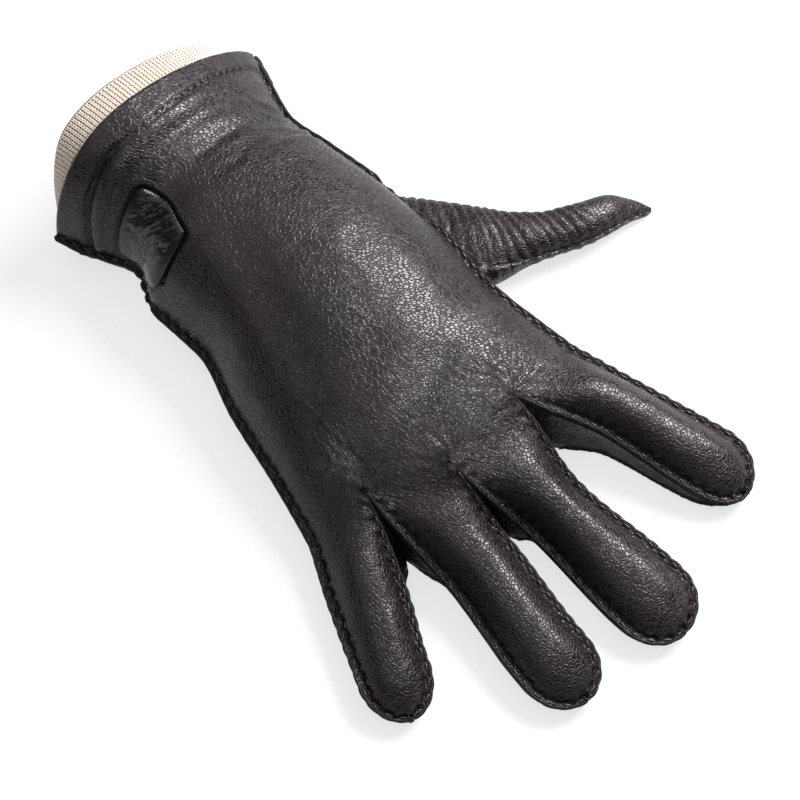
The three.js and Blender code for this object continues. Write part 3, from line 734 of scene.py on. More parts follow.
def linear(colour):
    """Linear colour from an sRGB hex string."""
    parts = [int(colour[k : k + 2], 16) / 255 for k in (1, 3, 5)]
    return tuple(p / 12.92 if p <= 0.04045 else ((p + 0.055) / 1.055) ** 2.4 for p in parts) + (1.0,)


def add_node(material, kind, settings=None, inputs=None, **links):
    """Adds a node with its settings, its inputs' values and its links. A link is named for its input, or for
    the input's place as _0, and comes from a node's first output or from a pair of a node and its output."""
    tree = material.node_tree
    node = tree.nodes.new("ShaderNode" + kind)
    for key, value in (settings or {}).items():
        setattr(node, key, value)
    for key, value in (inputs or {}).items():
        node.inputs[key].default_value = value
    for key, source in links.items():
        other, output = source if isinstance(source, tuple) else (source, 0)
        slot = int(key[1:]) if key[0] == "_" else key.replace("_", " ")
        tree.links.new(other.outputs[output], node.inputs[slot])
    return node


SOFT = {"interpolation_type": "SMOOTHSTEP"}
EDGES = {"feature": "DISTANCE_TO_EDGE"}
SUM_OF_SHARE = {"operation": "MULTIPLY_ADD"}


def start_material(name, squeeze=1.0):
    """A new material, and the node that gives its place in millimetres, squeezed in height."""
    material = bpy.data.materials.new(name)
    material.use_nodes = True
    material.node_tree.nodes.clear()
    place = add_node(material, "TexCoord")
    scale = {"Scale": (1000, 1000, 1000 * squeeze)}
    return material, add_node(material, "Mapping", None, scale, Vector=(place, "Object"))


def end_material(material, tones, blend, height, strength, relief_mm, values, **links):
    """Mixes two tones by a pattern, turns another pattern into relief, and gives both to the shader."""
    mixed = {6: linear(tones[0]), 7: linear(tones[1])}
    base = add_node(material, "Mix", {"data_type": "RGBA"}, mixed, _0=blend)
    relief = {"Strength": strength, "Distance": relief_mm / 1000}
    bump = add_node(material, "Bump", None, relief, Height=height)
    shader = add_node(material, "BsdfPrincipled", None, values, Base_Color=(base, 2), Normal=bump, **links)
    add_node(material, "OutputMaterial", Surface=shader)
    return material


def pulled_lines(material, mm):
    """Fine creases that fan out from the bottoms of the slits, from 0 between them to 1 in one."""
    total = None
    for k, (_, x, y, z, *_) in enumerate(SLITS):
        slit = {1: (x + CENTRING[0], y + CENTRING[1], z)}
        away = add_node(material, "VectorMath", {"operation": "SUBTRACT"}, slit, _0=mm)
        reach = add_node(material, "VectorMath", {"operation": "LENGTH"}, _0=away)
        parts = add_node(material, "SeparateXYZ", Vector=away)
        turn = add_node(material, "Math", {"operation": "ARCTAN2"}, _0=(parts, "Y"), _1=(parts, "X"))
        polar = add_node(material, "CombineXYZ", None, {"Z": 7.0 * k}, X=turn, Y=(reach, "Value"))
        fan = add_node(material, "Mapping", None, {"Scale": (15.0, 0.09, 1.0)}, Vector=polar)
        lines = add_node(material, "TexNoise", None, {"Scale": 1.0, "Detail": 2.0}, Vector=fan)
        off = add_node(material, "Math", {"operation": "SUBTRACT"}, {1: 0.5}, _0=lines)
        gap = add_node(material, "Math", {"operation": "ABSOLUTE"}, _0=off)
        narrow = {"From Max": 0.07, "To Min": 1.0, "To Max": 0.0}
        crease = add_node(material, "MapRange", SOFT, narrow, Value=gap)
        fading = {"From Min": 9.0, "From Max": 34.0, "To Min": 1.0, "To Max": 0.0}
        fade = add_node(material, "MapRange", SOFT, fading, Value=(reach, "Value"))
        seen = add_node(material, "Math", {"operation": "MULTIPLY"}, _0=crease, _1=fade)
        if total is not None:
            seen = add_node(material, "Math", {"operation": "MAXIMUM"}, _0=total, _1=seen)
        total = seen
    return total


def deerskin(name, colours, grain_mm, relief_mm, shine, dullness, pulled):
    """Drum-dyed, milled deerskin with a polished grain. Its pebbles are round and shine, and the fine creases
    between them stay dull, so that a highlight breaks up into cells. The real pebbles are about 1 mm across.
    On the hand they are pulled long, and at the knuckles fine creases fan out from the slits."""
    m, mm = start_material(name)
    drift = add_node(m, "TexNoise", None, {"Scale": 0.14, "Detail": 2.0}, Vector=mm)
    shift = add_node(m, "VectorMath", SUM_OF_SHARE, {1: (3.0, 3.0, 3.0)}, _0=(drift, "Color"), _2=mm)
    wobble = add_node(m, "TexNoise", None, {"Scale": 0.9, "Detail": 1.0}, Vector=mm)
    warped = add_node(m, "VectorMath", SUM_OF_SHARE, {1: (0.35, 0.35, 0.35)}, _0=(wobble, "Color"), _2=shift)
    pull = {"Scale": (0.75, 1.45, 1.0), "Rotation": (0, 0, 0.74)}
    stretch = add_node(m, "Mapping", {"vector_type": "TEXTURE"}, pull, Vector=warped)
    long_pebbles = add_node(m, "TexVoronoi", EDGES, {"Scale": 1 / grain_mm}, Vector=stretch)
    round_pebbles = add_node(m, "TexVoronoi", EDGES, {"Scale": 1 / grain_mm}, Vector=warped)
    small = add_node(m, "TexVoronoi", EDGES, {"Scale": 2 / grain_mm}, Vector=warped)
    pores = add_node(m, "TexNoise", None, {"Scale": 2.2, "Detail": 2.0}, Vector=mm)
    parts = add_node(m, "SeparateXYZ", Vector=shift)
    on_hand = add_node(m, "MapRange", SOFT, {"From Min": -52.0, "From Max": -28.0}, Value=(parts, "Y"))
    pebbles = add_node(m, "Mix", _0=on_hand, _2=round_pebbles, _3=long_pebbles)
    domes = add_node(m, "MapRange", SOFT, {"From Min": 0.01, "From Max": 0.2}, Value=pebbles)
    beads = add_node(m, "MapRange", SOFT, {"From Max": 0.3}, Value=small)
    fine = add_node(m, "Math", SUM_OF_SHARE, {1: 0.12}, _0=beads, _2=domes)
    height = add_node(m, "Math", SUM_OF_SHARE, {1: 0.25}, _0=pores, _2=fine)
    if pulled:
        lumps = add_node(m, "TexNoise", None, {"Scale": 0.4, "Detail": 2.0}, Vector=stretch)
        height = add_node(m, "Math", SUM_OF_SHARE, {1: 1.6}, _0=lumps, _2=height)
        height = add_node(m, "Math", SUM_OF_SHARE, {1: -1.4}, _0=pulled_lines(m, mm), _2=height)
    tone = add_node(m, "TexNoise", None, {"Scale": 0.03, "Detail": 4.0}, Vector=mm)
    blend = add_node(m, "MapRange", SOFT, {"From Min": 0.35, "From Max": 0.65}, Value=tone)
    polish = {"From Min": 0.1, "From Max": 1.0, "To Min": dullness, "To Max": shine}
    dull = add_node(m, "MapRange", None, polish, Value=fine)
    values = {"IOR": 1.5, "Specular IOR Level": 0.42}
    return end_material(m, colours, blend, height, 1.0, relief_mm, values, Roughness=dull)


def raw_edge(name, colour):
    """The cut edge of deerskin, left bare. It is a soft, dull, fibrous band, a little browner."""
    m, mm = start_material(name, 3.5)
    fibre = add_node(m, "TexNoise", None, {"Scale": 1.6, "Detail": 4.0}, Vector=mm)
    shade = add_node(m, "MapRange", SOFT, {"From Min": 0.3, "From Max": 0.7}, Value=fibre)
    return end_material(m, ("#0c0909", colour), shade, fibre, 0.8, 0.2, {"IOR": 1.45, "Roughness": 0.75})


def waxed_thread(name, colour):
    """Waxed cotton thread, twisted from three strands. The real thread is near the leather's dark colour;
    this one is lighter, partly its own colour and partly painted highlight standing in for its glints, and it
    catches glints of its own too.
    """
    m, mm = start_material(name)
    twist = add_node(m, "TexNoise", None, {"Scale": 3.0, "Detail": 2.0}, Vector=mm)
    return end_material(m, ("#3a3134", colour), twist, twist, 0.6, 0.2, {"IOR": 1.5, "Roughness": 0.2})


def wool_knit(name, pale, deep):
    """Undyed wool yarn, knitted. It is matt and a little hairy, with flecks of two tones. Given one dark
    tone, it is the painted shade seen between the loops.
    """
    m, mm = start_material(name)
    fleck = add_node(m, "TexNoise", None, {"Scale": 0.9, "Detail": 5.0}, Vector=mm)
    hairs = add_node(m, "TexNoise", None, {"Scale": 6.0, "Detail": 3.0}, Vector=mm)
    shade = add_node(m, "MapRange", SOFT, {"From Min": 0.3, "From Max": 0.7}, Value=fleck)
    values = {"IOR": 1.5, "Roughness": 0.92, "Sheen Weight": 0.35, "Sheen Roughness": 0.5}
    return end_material(m, (deep, pale), shade, hairs, 0.7, 0.2, values)


def paper_sweep(name):
    """Matt white background paper on a light table, so that the shadows stay faint."""
    m, mm = start_material(name)
    grain = add_node(m, "TexNoise", None, {"Scale": 0.9, "Detail": 2.0}, Vector=mm)
    shade = add_node(m, "MapRange", SOFT, {"To Min": 0.26, "To Max": 0.3}, Value=grain)
    values = {"Roughness": 0.9, "Specular IOR Level": 0.1}
    values.update({"Emission Strength": PAPER_GLOW, "Emission Color": (1, 1, 1, 1)})
    shader = add_node(m, "BsdfPrincipled", None, values, Base_Color=shade)
    add_node(m, "OutputMaterial", Surface=shader)
    return m


# What a user would change


class GloveSizes(bpy.types.PropertyGroup):
    leather: bpy.props.FloatProperty(
        name="Leather", description="Thickness of the deerskin", default=0.0013, unit="LENGTH")
    fourchette: bpy.props.FloatProperty(
        name="Fourchettes", description="Thickness of the strips between the fingers", default=0.0011,
        unit="LENGTH")
    seam_gap: bpy.props.FloatProperty(
        name="Seam gap", description="Between two edges sewn together", default=0.0003, unit="LENGTH")
    seam_edge: bpy.props.FloatProperty(
        name="Seam edge", description="Width of the raw edge outside the seam", default=0.0013, unit="LENGTH")
    stitch_pitch: bpy.props.FloatProperty(
        name="Stitch pitch", description="From one hand stitch to the next", default=0.0049, unit="LENGTH")
    thread: bpy.props.FloatProperty(
        name="Thread", description="Thickness of the thread", default=0.00054, unit="LENGTH")
    lining_shows: bpy.props.FloatProperty(
        name="Lining shows", description="How far the knit stands out of the cuff", default=0.0112,
        unit="LENGTH")
    wale: bpy.props.FloatProperty(
        name="Wale", description="Width of one of the knit's ribs", default=0.00165, unit="LENGTH")


class GloveColours(bpy.types.PropertyGroup):
    grain_dark: bpy.props.StringProperty(
        name="Grain, dark", description="Darker tone of the deerskin", default="#0e090b")
    grain_light: bpy.props.StringProperty(
        name="Grain, light", description="Lighter tone of the deerskin", default="#181114")
    edge: bpy.props.StringProperty(
        name="Raw edge", description="Cut edge of the deerskin", default="#150f10")
    # Thread colour: partly its own, partly painted highlight, lightened to stand in for the stitches' glints
    thread: bpy.props.StringProperty(name="Thread", description="Waxed thread", default="#51464a")
    knit_pale: bpy.props.StringProperty(
        name="Knit, pale", description="Lighter flecks of the loops", default="#e2d9ca")
    knit_deep: bpy.props.StringProperty(
        name="Knit, deep", description="Darker flecks of the loops", default="#d2c7b4")
    # Painted shade: the dark colour of the tube that shows between the loops, not the yarn's own colour
    knit_shade: bpy.props.StringProperty(
        name="Knit, shade", description="Between the loops", default="#7d6e58")


SEAMS = {}  # the seams' lines, kept by the panels and the thumb for the stitches
FINISH = {}  # the finishes made so far, which several pieces share
FINISH_MAKERS = {
    "grain": lambda c: deerskin(
        "milled_deerskin", (c.grain_dark, c.grain_light), 1.15, 0.09, shine=0.21, dullness=0.58, pulled=True),
    "patch": lambda c: deerskin(
        "smooth_deerskin", (c.grain_dark, c.grain_dark), 0.9, 0.03, shine=0.17, dullness=0.34, pulled=False),
    "edge": lambda c: raw_edge("raw_cut_deerskin", c.edge),
    "thread": lambda c: waxed_thread("waxed_thread_with_painted_glints", c.thread),
    "knit": lambda c: wool_knit("knitted_wool", c.knit_pale, c.knit_deep),
    # The knit's tube gets painted shade, one dark tone seen between the loops
    "gap_painted_shade": lambda c: wool_knit("painted_shade_between_loops", c.knit_shade, c.knit_shade),
    "paper": lambda c: paper_sweep("white_paper_sweep"),
}


def finish(kind):
    """A finish by its name, made when it is first asked for."""
    if kind not in FINISH:
        FINISH[kind] = FINISH_MAKERS[kind](bpy.context.scene.glove_colours)
    return FINISH[kind]


# The pieces


def seam_width(panel, sizes):
    """Width of the raw edge along a panel's outline. It is wider on the fingers than on the hand, grows out
    of each slit, and is none at the cuff's edge, beside the patch and at the thumb."""
    slits = [slit[1:3] if panel == "back" else slit[4:6] for slit in SLITS]

    def width(line):
        x, y = line[:, 0], line[:, 1]
        nearest = np.min([np.hypot(x - slit_x, y - slit_y) for slit_x, slit_y in slits], axis=0)
        share = 0.62 + 0.38 * ease((-y - 10) / 40) - 0.2 * ease((y - 45) / 20) * (x > 0)
        beside_patch = ease((-x - 30) / 5) * ease((y - 74) / 5) * ease((100 - y) / 5)
        under_thumb = ease((y + 10) / 3) if panel == "palm" else ease((y - 27) / 5)
        at_thumb = ease((x - 20) / 3) * ease((54 - y) / 3) * under_thumb
        wide = sizes.seam_edge * 1e3 * ease(nearest / SLIT_REACH) * share
        return np.where(y > CUFF_EDGE - 0.01, 0, wide * (1 - beside_patch) * (1 - at_thumb))

    return width


def pucker(vertices, faces, normal, sizes, amount):
    """Small gathers that the stitches pull into the leather beside a seam."""
    line = vertices[open_loop(faces)]
    distance, place = near_line(vertices, line)
    turn = 2 * math.pi * arc_lengths(line)[place] / (sizes.stitch_pitch * 1e3)
    wave = np.cos(turn) + 0.45 * np.cos(2 * turn + 0.8) + 0.9 * lattice_noise(vertices, 1.9, 61)
    away = ease((distance + 0.1) / 0.5) * bell(np.maximum(0, distance - 1.4), 1.3)
    sewn = line[place, 1] <= CUFF_EDGE - 0.5
    return vertices + normal * (amount * wave * away * sewn)[:, None]


def sewn_leather(panel, vertices, quads, normal, sizes, gathers, curl):
    """A panel's closed skin, with gathers beside the seam and the seam's raw edge, which SEAMS keeps."""
    vertices = pucker(vertices, quads, normal, sizes, gathers)
    width = seam_width(panel, sizes)
    vertices, faces, seam = with_seam_edge(
        vertices, quads, width, panel == "back", curl, sizes.stitch_pitch * 1e3)
    SEAMS[panel] = seam
    return thickened(
        vertices, faces, lambda p: hem_leather(p[:, 1], sizes) * hem_round(p[:, 1]) * seam_thinning(p, seam))


class BackPanel(bpy.types.Operator):
    """Back of the glove: hand and finger fronts in one cut piece of deerskin"""

    bl_idname = "glove.back_panel"
    bl_label = "Back panel"

    def execute(self, context):
        sizes = context.scene.glove_sizes
        vertices, quads, where = panel_grid(
            back_hand, back_finger, rows=140, finger_rows=96, columns=42, looks_up=True)
        normal = vertex_normals(vertices, quads)
        line = vertices[open_loop(quads)]
        distance = near_line(vertices, line[line[:, 1] < CUFF_EDGE - 0.5])[0]
        vertices = vertices + normal * (back_relief(vertices, where) * ease(distance / 5))[:, None]
        vertices, faces, raw = sewn_leather("back", vertices, quads, normal, sizes, 0.36, SEAM_CURL)
        piece = make_object("glove_back", vertices, faces, ("grain", "edge"), raw)
        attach(piece, "root")
        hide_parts("back_panel")
        return {"FINISHED"}


class PalmPanel(bpy.types.Operator):
    """Palm side of the glove: hand and finger fronts in one cut piece of deerskin"""

    bl_idname = "glove.palm_panel"
    bl_label = "Palm panel"

    def execute(self, context):
        sizes = context.scene.glove_sizes
        vertices, quads, _ = panel_grid(
            lambda r, c: palm_hand(r, c, sizes), lambda i, s, v: palm_finger(i, s, v, sizes),
            rows=100, finger_rows=64, columns=24, looks_up=False)
        normal = vertex_normals(vertices, quads)
        raised = ease((vertices[:, 2] - 0.2) / 3)
        relief = 0.25 * lattice_noise(vertices, 14, 21) + 0.15 * lattice_noise(vertices, 6, 22)
        vertices = vertices + normal * (relief * raised)[:, None]
        vertices, faces, raw = sewn_leather("palm", vertices, quads, normal, sizes, 0.22, PALM_CURL)
        vertices[:, 2] = np.maximum(vertices[:, 2], 0)
        piece = make_object("glove_palm", vertices, faces, ("grain", "edge"), raw)
        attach(piece, "root")
        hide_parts("palm_panel")
        return {"FINISHED"}


def fourchette_row(finger, side, s, out, sizes):
    """One row of a strip, from the top rim's raw edge down to the foot's. Side 0 is the slit's bottom."""
    clear = (sizes.leather + sizes.seam_gap) * 1e3 + 0.15
    top = back_edge(finger, side or 1, s)
    foot = palm_edge(finger, side or 1, s, sizes)
    high, low = top[2] - clear, foot[2] + clear
    grown = float(ease(s * finger_line(finger)[1] / SLIT_REACH)) * (1 if side else 0)
    rim = 0.85 * sizes.seam_edge * 1e3 * grown + 0.05
    curl = SEAM_CURL * min(1, rim)
    tall = max(0.1, high - low)
    row = []
    for share in np.linspace(1, 0, RIM_STEPS + 1):
        row.append([*(top[:2] + out[:2] * rim * share), high + curl * share**2])
    for share in np.linspace(0, 1, STRIP_STEPS + 1)[1:-1]:
        hollow = 0.07 * tall * math.sin(math.pi * share)
        spot = top[:2] * (1 - share) + foot[:2] * share - out[:2] * hollow
        row.append([*spot, high - tall * share])
    for share in np.linspace(0, 1, RIM_STEPS + 1):
        row.append([*(foot[:2] + out[:2] * rim * share), low + curl * share**2])
    return row


def fourchette_face(i, sizes):
    """Grid of one strip. Its rows follow one finger's side to the slit's bottom, and the other's back out."""
    stations = np.concatenate([np.linspace(0.985, 0.9, 8)[:-1], np.linspace(0.9, 0.0, 80)[:-1]])
    first, second = finger_line(i), finger_line(i + 1)
    rows = [fourchette_row(i, 1, s, first[3], sizes) for s in stations]
    rows.append(fourchette_row(i, 0, 0.0, unit(first[2] + second[2]), sizes))
    rows += [fourchette_row(i + 1, -1, s, -second[3], sizes) for s in stations[::-1]]
    return np.array(rows)


class Fourchettes(bpy.types.Operator):
    """The strips of deerskin between neighbouring fingers"""

    bl_idname = "glove.fourchettes"
    bl_label = "Fourchettes"

    def execute(self, context):
        sizes = context.scene.glove_sizes
        for i, slit in enumerate(SLITS):
            grid = fourchette_face(i, sizes)
            rows, columns = grid.shape[:2]
            quads = grid_quads(np.arange(rows * columns).reshape(rows, columns))
            vertices = grid.reshape(-1, 3)
            middle = np.tile(np.sin(np.linspace(0, math.pi, columns)), rows)
            relief = 0.35 * lattice_noise(vertices * [1, 1, 0.4], 5, 31 + i)
            relief += 0.2 * lattice_noise(vertices, 3, 35 + i)
            vertices = vertices + vertex_normals(vertices, quads) * (relief * middle)[:, None]
            tall = np.repeat(np.ptp(grid[..., 2], axis=1), columns)
            thick = np.minimum(sizes.fourchette * 1e3, 0.3 * tall)
            vertices, faces, raw = thickened(vertices, quads, lambda p: thick)
            piece = make_object("glove_fourchette_" + slit[0], vertices, faces, ("grain", "edge"), raw)
            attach(piece, "root")
            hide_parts("fourchette_" + slit[0])
        return {"FINISHED"}


def thumb_axis(t):
    stations = np.linspace(0, 1, len(THUMB["x"]))
    return [curve_through(stations, THUMB[key], t) for key in ("x", "y", "wide", "high")]


def squared(a):
    """A sine or cosine that makes a circle a little squarer."""
    return np.sign(a) * np.abs(a) ** 0.85


def thumb_skin(t, angle, inset=0.0):
    """A point of the thumb's tube, and the level direction towards the index finger. Angle 0 is on the cuff's
    side, a quarter turn is on top, and half a turn is on the index finger's side."""
    x, y, wide, high = thumb_axis(t)
    ahead, behind = thumb_axis(t + 0.01), thumb_axis(t - 0.01)
    dx, dy = ahead[0] - behind[0], ahead[1] - behind[1]
    length = np.hypot(dx, dy)
    aside = stack(dy / length, -dx / length, 0.0)
    reach = (wide - np.minimum(inset, 0.4 * wide)) * squared(np.cos(angle))
    rise = (high - np.minimum(inset, 0.4 * high)) * squared(np.sin(angle))
    return stack(x, y, high + rise) - aside * reach[..., None], aside


def thumb_seam_angle(t):
    """The thumb's seam runs over its side near the hand and along its edge further out."""
    return math.pi * (0.73 + 0.25 * ease((t - 0.22) / 0.3))


def thumb_relief(grid, t, angle, run, apart, wave):
    """How far the thumb's skin stands off its smooth tube: rings of folds on top, gathers by the seam."""

    def noise(size, seed):
        return lattice_noise(grid.reshape(-1, 3), size, seed).reshape(t.shape)

    toward = (1 - np.cos(angle)) / 2
    phase = ((run - 7.5 * toward + 2.3 * noise(12, 41) + 0.4 * noise(4, 42)) / THUMB_RING) % 1
    crest = 0.16 * np.cos(2 * math.pi * (phase - 0.22)) - 0.55 * bell(phase - 0.62, 0.08)
    crest = crest * (0.8 + 0.8 * noise(6, 47))
    ringed = ease(t / 0.05) * ease((0.74 - t) / 0.16) * ease((np.sin(angle) + 0.45) / 0.7)
    beside = bell(np.maximum(0, apart - 2.2), 2.0) * ease((apart - 0.8) / 0.8) * ease((t - 0.1) / 0.1)
    gathers = 0.3 * (wave + 0.8 * noise(1.9, 45)) * beside
    tip_calm = ease((1 - t) / 0.08)
    return (crest * ringed + 0.4 * noise(9, 43) + gathers) * tip_calm


def thumb_faces(index):
    """Triangles of the thumb: two tubes, a fan that closes the tip of each, and the raw edge at the root."""
    size, sides = index.size, index.shape[1]
    tube = as_triangles(grid_quads(np.concatenate([index, index[:, :1]], axis=1))[:, ::-1])
    tip = 2 * size
    fan = np.stack([index[-1], np.roll(index[-1], -1), np.full(sides, tip)], axis=-1)
    inner_fan = fan[:, ::-1] + np.where(fan[:, ::-1] == tip, 1, size)
    following = np.roll(index[0], -1)
    root = as_triangles(np.stack([index[0], following, following + size, index[0] + size], axis=-1))
    return np.concatenate([tube, fan, tube[:, ::-1] + size, inner_fan, root])


class Thumb(bpy.types.Operator):
    """The thumb: an empty tube of deerskin, sunk into rings of folds, with a seam along one side"""

    bl_idname = "glove.thumb"
    bl_label = "Thumb"

    def execute(self, context):
        sizes = context.scene.glove_sizes
        near = np.linspace(-SEAM_TURN, SEAM_TURN, 17)
        rest = np.linspace(SEAM_TURN, 2 * math.pi - SEAM_TURN, THUMB_SIDES)[1:-1]
        t, turn = np.meshgrid(np.linspace(0, 1, THUMB_ROWS), np.concatenate([near, rest]), indexing="ij")
        angle = thumb_seam_angle(t) + turn
        grid, aside = thumb_skin(t, angle)
        inner = thumb_skin(t, angle, sizes.leather * 1e3)[0]
        x, y, wide, high = thumb_axis(t)
        normal = unit(grid - stack(x, y, high))
        run = arc_lengths(stack(x[:, 0], y[:, 0], wide[:, 0])[:, :2])[:, None]
        wave = np.cos(2 * math.pi * run / (sizes.stitch_pitch * 1e3))
        apart = np.minimum(turn % (2 * math.pi), 2 * math.pi - turn % (2 * math.pi)) * high
        grid = grid + normal * thumb_relief(grid, t, angle, run, apart, wave)[..., None]
        edge = THUMB_EDGE * ease((t - 0.16) / 0.12) * ease((1.02 - t) / 0.06)
        flange = edge * (1 - ease((apart - 0.5) / 0.4)) * (1 + 0.12 * wave)
        grid = grid + aside * flange[..., None] + stack(0, 0, (0.25 + 0.2 * wave) * flange)
        grid[..., 2] = np.maximum(grid[..., 2], 0)
        tips = [grid[-1].mean(axis=0, keepdims=True), inner[-1].mean(axis=0, keepdims=True)]
        vertices = np.concatenate([grid.reshape(-1, 3), inner.reshape(-1, 3), *tips])
        faces = thumb_faces(np.arange(t.size).reshape(t.shape))
        piece = make_object("glove_thumb", vertices, faces, ("grain",))
        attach(piece, "root")
        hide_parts("thumb")
        seam = grid[:, len(near) // 2]
        SEAMS["thumb"] = dict(
            line=seam - aside[:, 0] * edge[:, :1], out=aside[:, 0], run=run[:, 0], wide=edge[:, 0],
            tangent=unit(np.gradient(seam, axis=0)))
        return {"FINISHED"}


def stitch_mesh(centres, along, up, length, radius, rings=7, sides=6):
    """Vertices and faces of many short stitches that bend down into their holes."""
    u = np.linspace(-1, 1, rings)
    angle = np.linspace(0, 2 * math.pi, sides, endpoint=False)
    side = unit(np.cross(up, along))
    bend = -0.9 * radius * (np.abs(u) ** 3)
    thin = radius * np.sqrt(np.maximum(0.04, 1 - (np.abs(u) ** 4) * 0.9))[:, None]
    vertices = (
        centres[:, None, None]
        + along[:, None, None] * (u * length / 2)[None, :, None, None]
        + up[:, None, None] * (bend[:, None] + thin * np.sin(angle))[None, :, :, None]
        + side[:, None, None] * (thin * np.cos(angle))[None, :, :, None]
    )
    n = rings * sides
    index = np.arange(n).reshape(rings, sides)
    closed = np.concatenate([index, index[:, :1]], axis=1)
    caps = []
    for k in range(1, sides - 1):
        caps.append([index[0, 0], index[0, k], index[0, k + 1]])
        caps.append([index[-1, 0], index[-1, k + 1], index[-1, k]])
    faces = np.concatenate([as_triangles(grid_quads(closed)), np.array(caps)])
    every = faces[None] + (np.arange(len(centres)) * n)[:, None, None]
    return vertices.reshape(-1, 3), every.reshape(-1, 3)


def resampled(values, run, at):
    """The points of a line, or directions along it, at other distances along it."""
    return np.stack([np.interp(at, run, values[:, k]) for k in range(3)], axis=-1)


def seam_stitches(panel, sign, sizes, rng):
    """Stitches along one seam, up or down on its raw edge. Where the edge is narrow, there are none."""
    pitch, radius = sizes.stitch_pitch * 1e3, sizes.thread * 500
    seam = SEAMS[panel]
    run = seam["run"]
    at = np.arange(0.5 * pitch, run[-1], pitch)
    wide = np.interp(at, run, seam["wide"])
    line, tangent, out = (resampled(seam[key], run, at) for key in ("line", "tangent", "out"))
    keep = (line[:, 1] < CUFF_EDGE - 1) & (wide > STITCHED_WIDTH)
    line, tangent, out, wide = line[keep], unit(tangent)[keep], unit(out)[keep], wide[keep]
    up = np.tile([0.0, 0.0, sign], (len(line), 1))
    centres = line + out * (0.42 * wide)[:, None] + up * (0.2 + radius * 0.5) + [0, 0, 0.18 * SEAM_CURL]
    slant = unit(tangent + out * rng.normal(0.1, 0.09, (len(line), 1)))
    vertices, faces = stitch_mesh(centres, slant, up, pitch * STITCH_SHARE, radius)
    each = vertices.reshape(len(centres), -1, 3)
    # A stitch that would dip under the paper is lifted onto it
    each[..., 2] += np.maximum(0, 0.02 - each[..., 2].min(axis=1))[:, None]
    return vertices, faces


def hem_stitches():
    """Stitches across the top of the cuff, just above the hem's fold, whose place is found by halving."""
    c = np.arange(*HEM_STITCHES)
    low, high = np.zeros_like(c), np.full_like(c, 0.2)
    for _ in range(24):
        r = (low + high) / 2
        point = back_hand(r, c)
        short = point[:, 1] > curve_through(HEM_FOLD["x"], HEM_FOLD["y"], point[:, 0]) + 0.3
        low, high = np.where(short, r, low), np.where(short, high, r)
    normal = skin_normal(r, c)
    along = unit(np.gradient(point, axis=0))
    height = back_relief(point, np.stack([r, c], axis=1)) + HEM_STITCH_HEIGHT
    return stitch_mesh(point + normal * height[:, None], along, normal, HEM_STITCH_LENGTH, HEM_THREAD)


class Stitches(bpy.types.Operator):
    """Hand stitches of waxed thread along every outside seam and the hem"""

    bl_idname = "glove.stitches"
    bl_label = "Stitches"

    def execute(self, context):
        rng = np.random.default_rng(4)
        meshes = {}
        for panel, sign in (("back", 1), ("palm", -1), ("thumb", 1)):
            meshes[panel] = seam_stitches(panel, sign, context.scene.glove_sizes, rng)
        meshes["hem"] = hem_stitches()
        for name, (vertices, faces) in meshes.items():
            piece = make_object("stitches_" + name, vertices, faces, ("thread",))
            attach(piece, "root")
        return {"FINISHED"}


class CuffPatch(bpy.types.Operator):
    """The small padded patch on the back by the cuff, plain and puckered"""

    bl_idname = "glove.cuff_patch"
    bl_label = "Cuff patch"

    def execute(self, context):
        steps = np.linspace(-1, 1, 91)
        a, b = np.meshgrid(steps, steps, indexing="ij")
        pull = 1 - 0.1 * a**4 * b**4
        r = PATCH_MIDDLE[0] + PATCH_HALF[0] * a * pull
        c = PATCH_MIDDLE[1] + PATCH_HALF[1] * b * pull + PATCH_SLANT * a
        base = back_hand(r, c)
        normal = skin_normal(r, c)
        edge = np.maximum(np.abs(a), np.abs(b))
        dome = PATCH_DOME * np.sqrt(np.maximum(0, 1 - edge**4)) + 0.2 * (1 - a**4) * (1 - b**4)
        x, y, z = base[..., 0], base[..., 1], base[..., 2]
        pleat = stack(0.5 * (x - y), 1.6 * (x + y), 0.3 * z)
        inside = ease((1 - edge) / 0.35) * (0.35 + 0.65 * ease((b + 0.8) / 0.9))
        relief = inside * (0.7 * lattice_noise(pleat, 3.2, 51) + 0.5 * lattice_noise(pleat, 1.5, 52))
        over = base + normal * (0.15 + dome + relief)[..., None]
        under = base - normal * PATCH_SUNK
        quads = grid_quads(np.arange(a.size).reshape(a.shape))
        vertices, faces, _ = closed_skin(over.reshape(-1, 3), under.reshape(-1, 3), quads)
        piece = make_object("glove_patch", vertices, faces, ("patch",))
        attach(piece, "root")
        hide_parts("cuff_patch")
        return {"FINISHED"}


def lining_ring(row, margin, sizes):
    """The knit tube's closed ring at a row, which is inside the cuff above zero and out of it below zero. The
    margin is how far it lies inside the leather."""
    r, out = max(0.0, row), max(0.0, -row)
    shares = (places(60) + 1) / 2
    rows = np.full_like(shares, r)
    back, palm = back_hand(rows, shares), palm_hand(rows, shares, sizes)
    seam = hand("left_z", r) * (1 - shares) + hand("right_z", r) * shares
    arch = back_rise(2 * shares - 1)
    side = (3.2 + margin) * (1 - 2 * shares)
    rise = np.maximum(0, (back[:, 2] - seam) * 0.985 - margin * arch)
    top = seam - hem_leather(back[:, 1], sizes) - 0.15 + rise
    upper = stack(back[:, 0] + side, back[:, 1] + out * (0.12 + 0.88 * ease(arch / 0.8)), top)
    foot = palm[:, 2] + hem_leather(palm[:, 1], sizes) + 0.3 + margin * arch
    lower = stack(palm[:, 0] + side, palm[:, 1] + 0.12 * out, foot)
    return np.concatenate([upper, lower[1:-1][::-1]])


def evenly(ring, count):
    """The closed ring again with points at equal steps, and its length."""
    closed = np.concatenate([ring, ring[:1]])
    run = arc_lengths(closed)
    return resampled(closed, run, np.linspace(0, run[-1], count, endpoint=False)), run[-1]


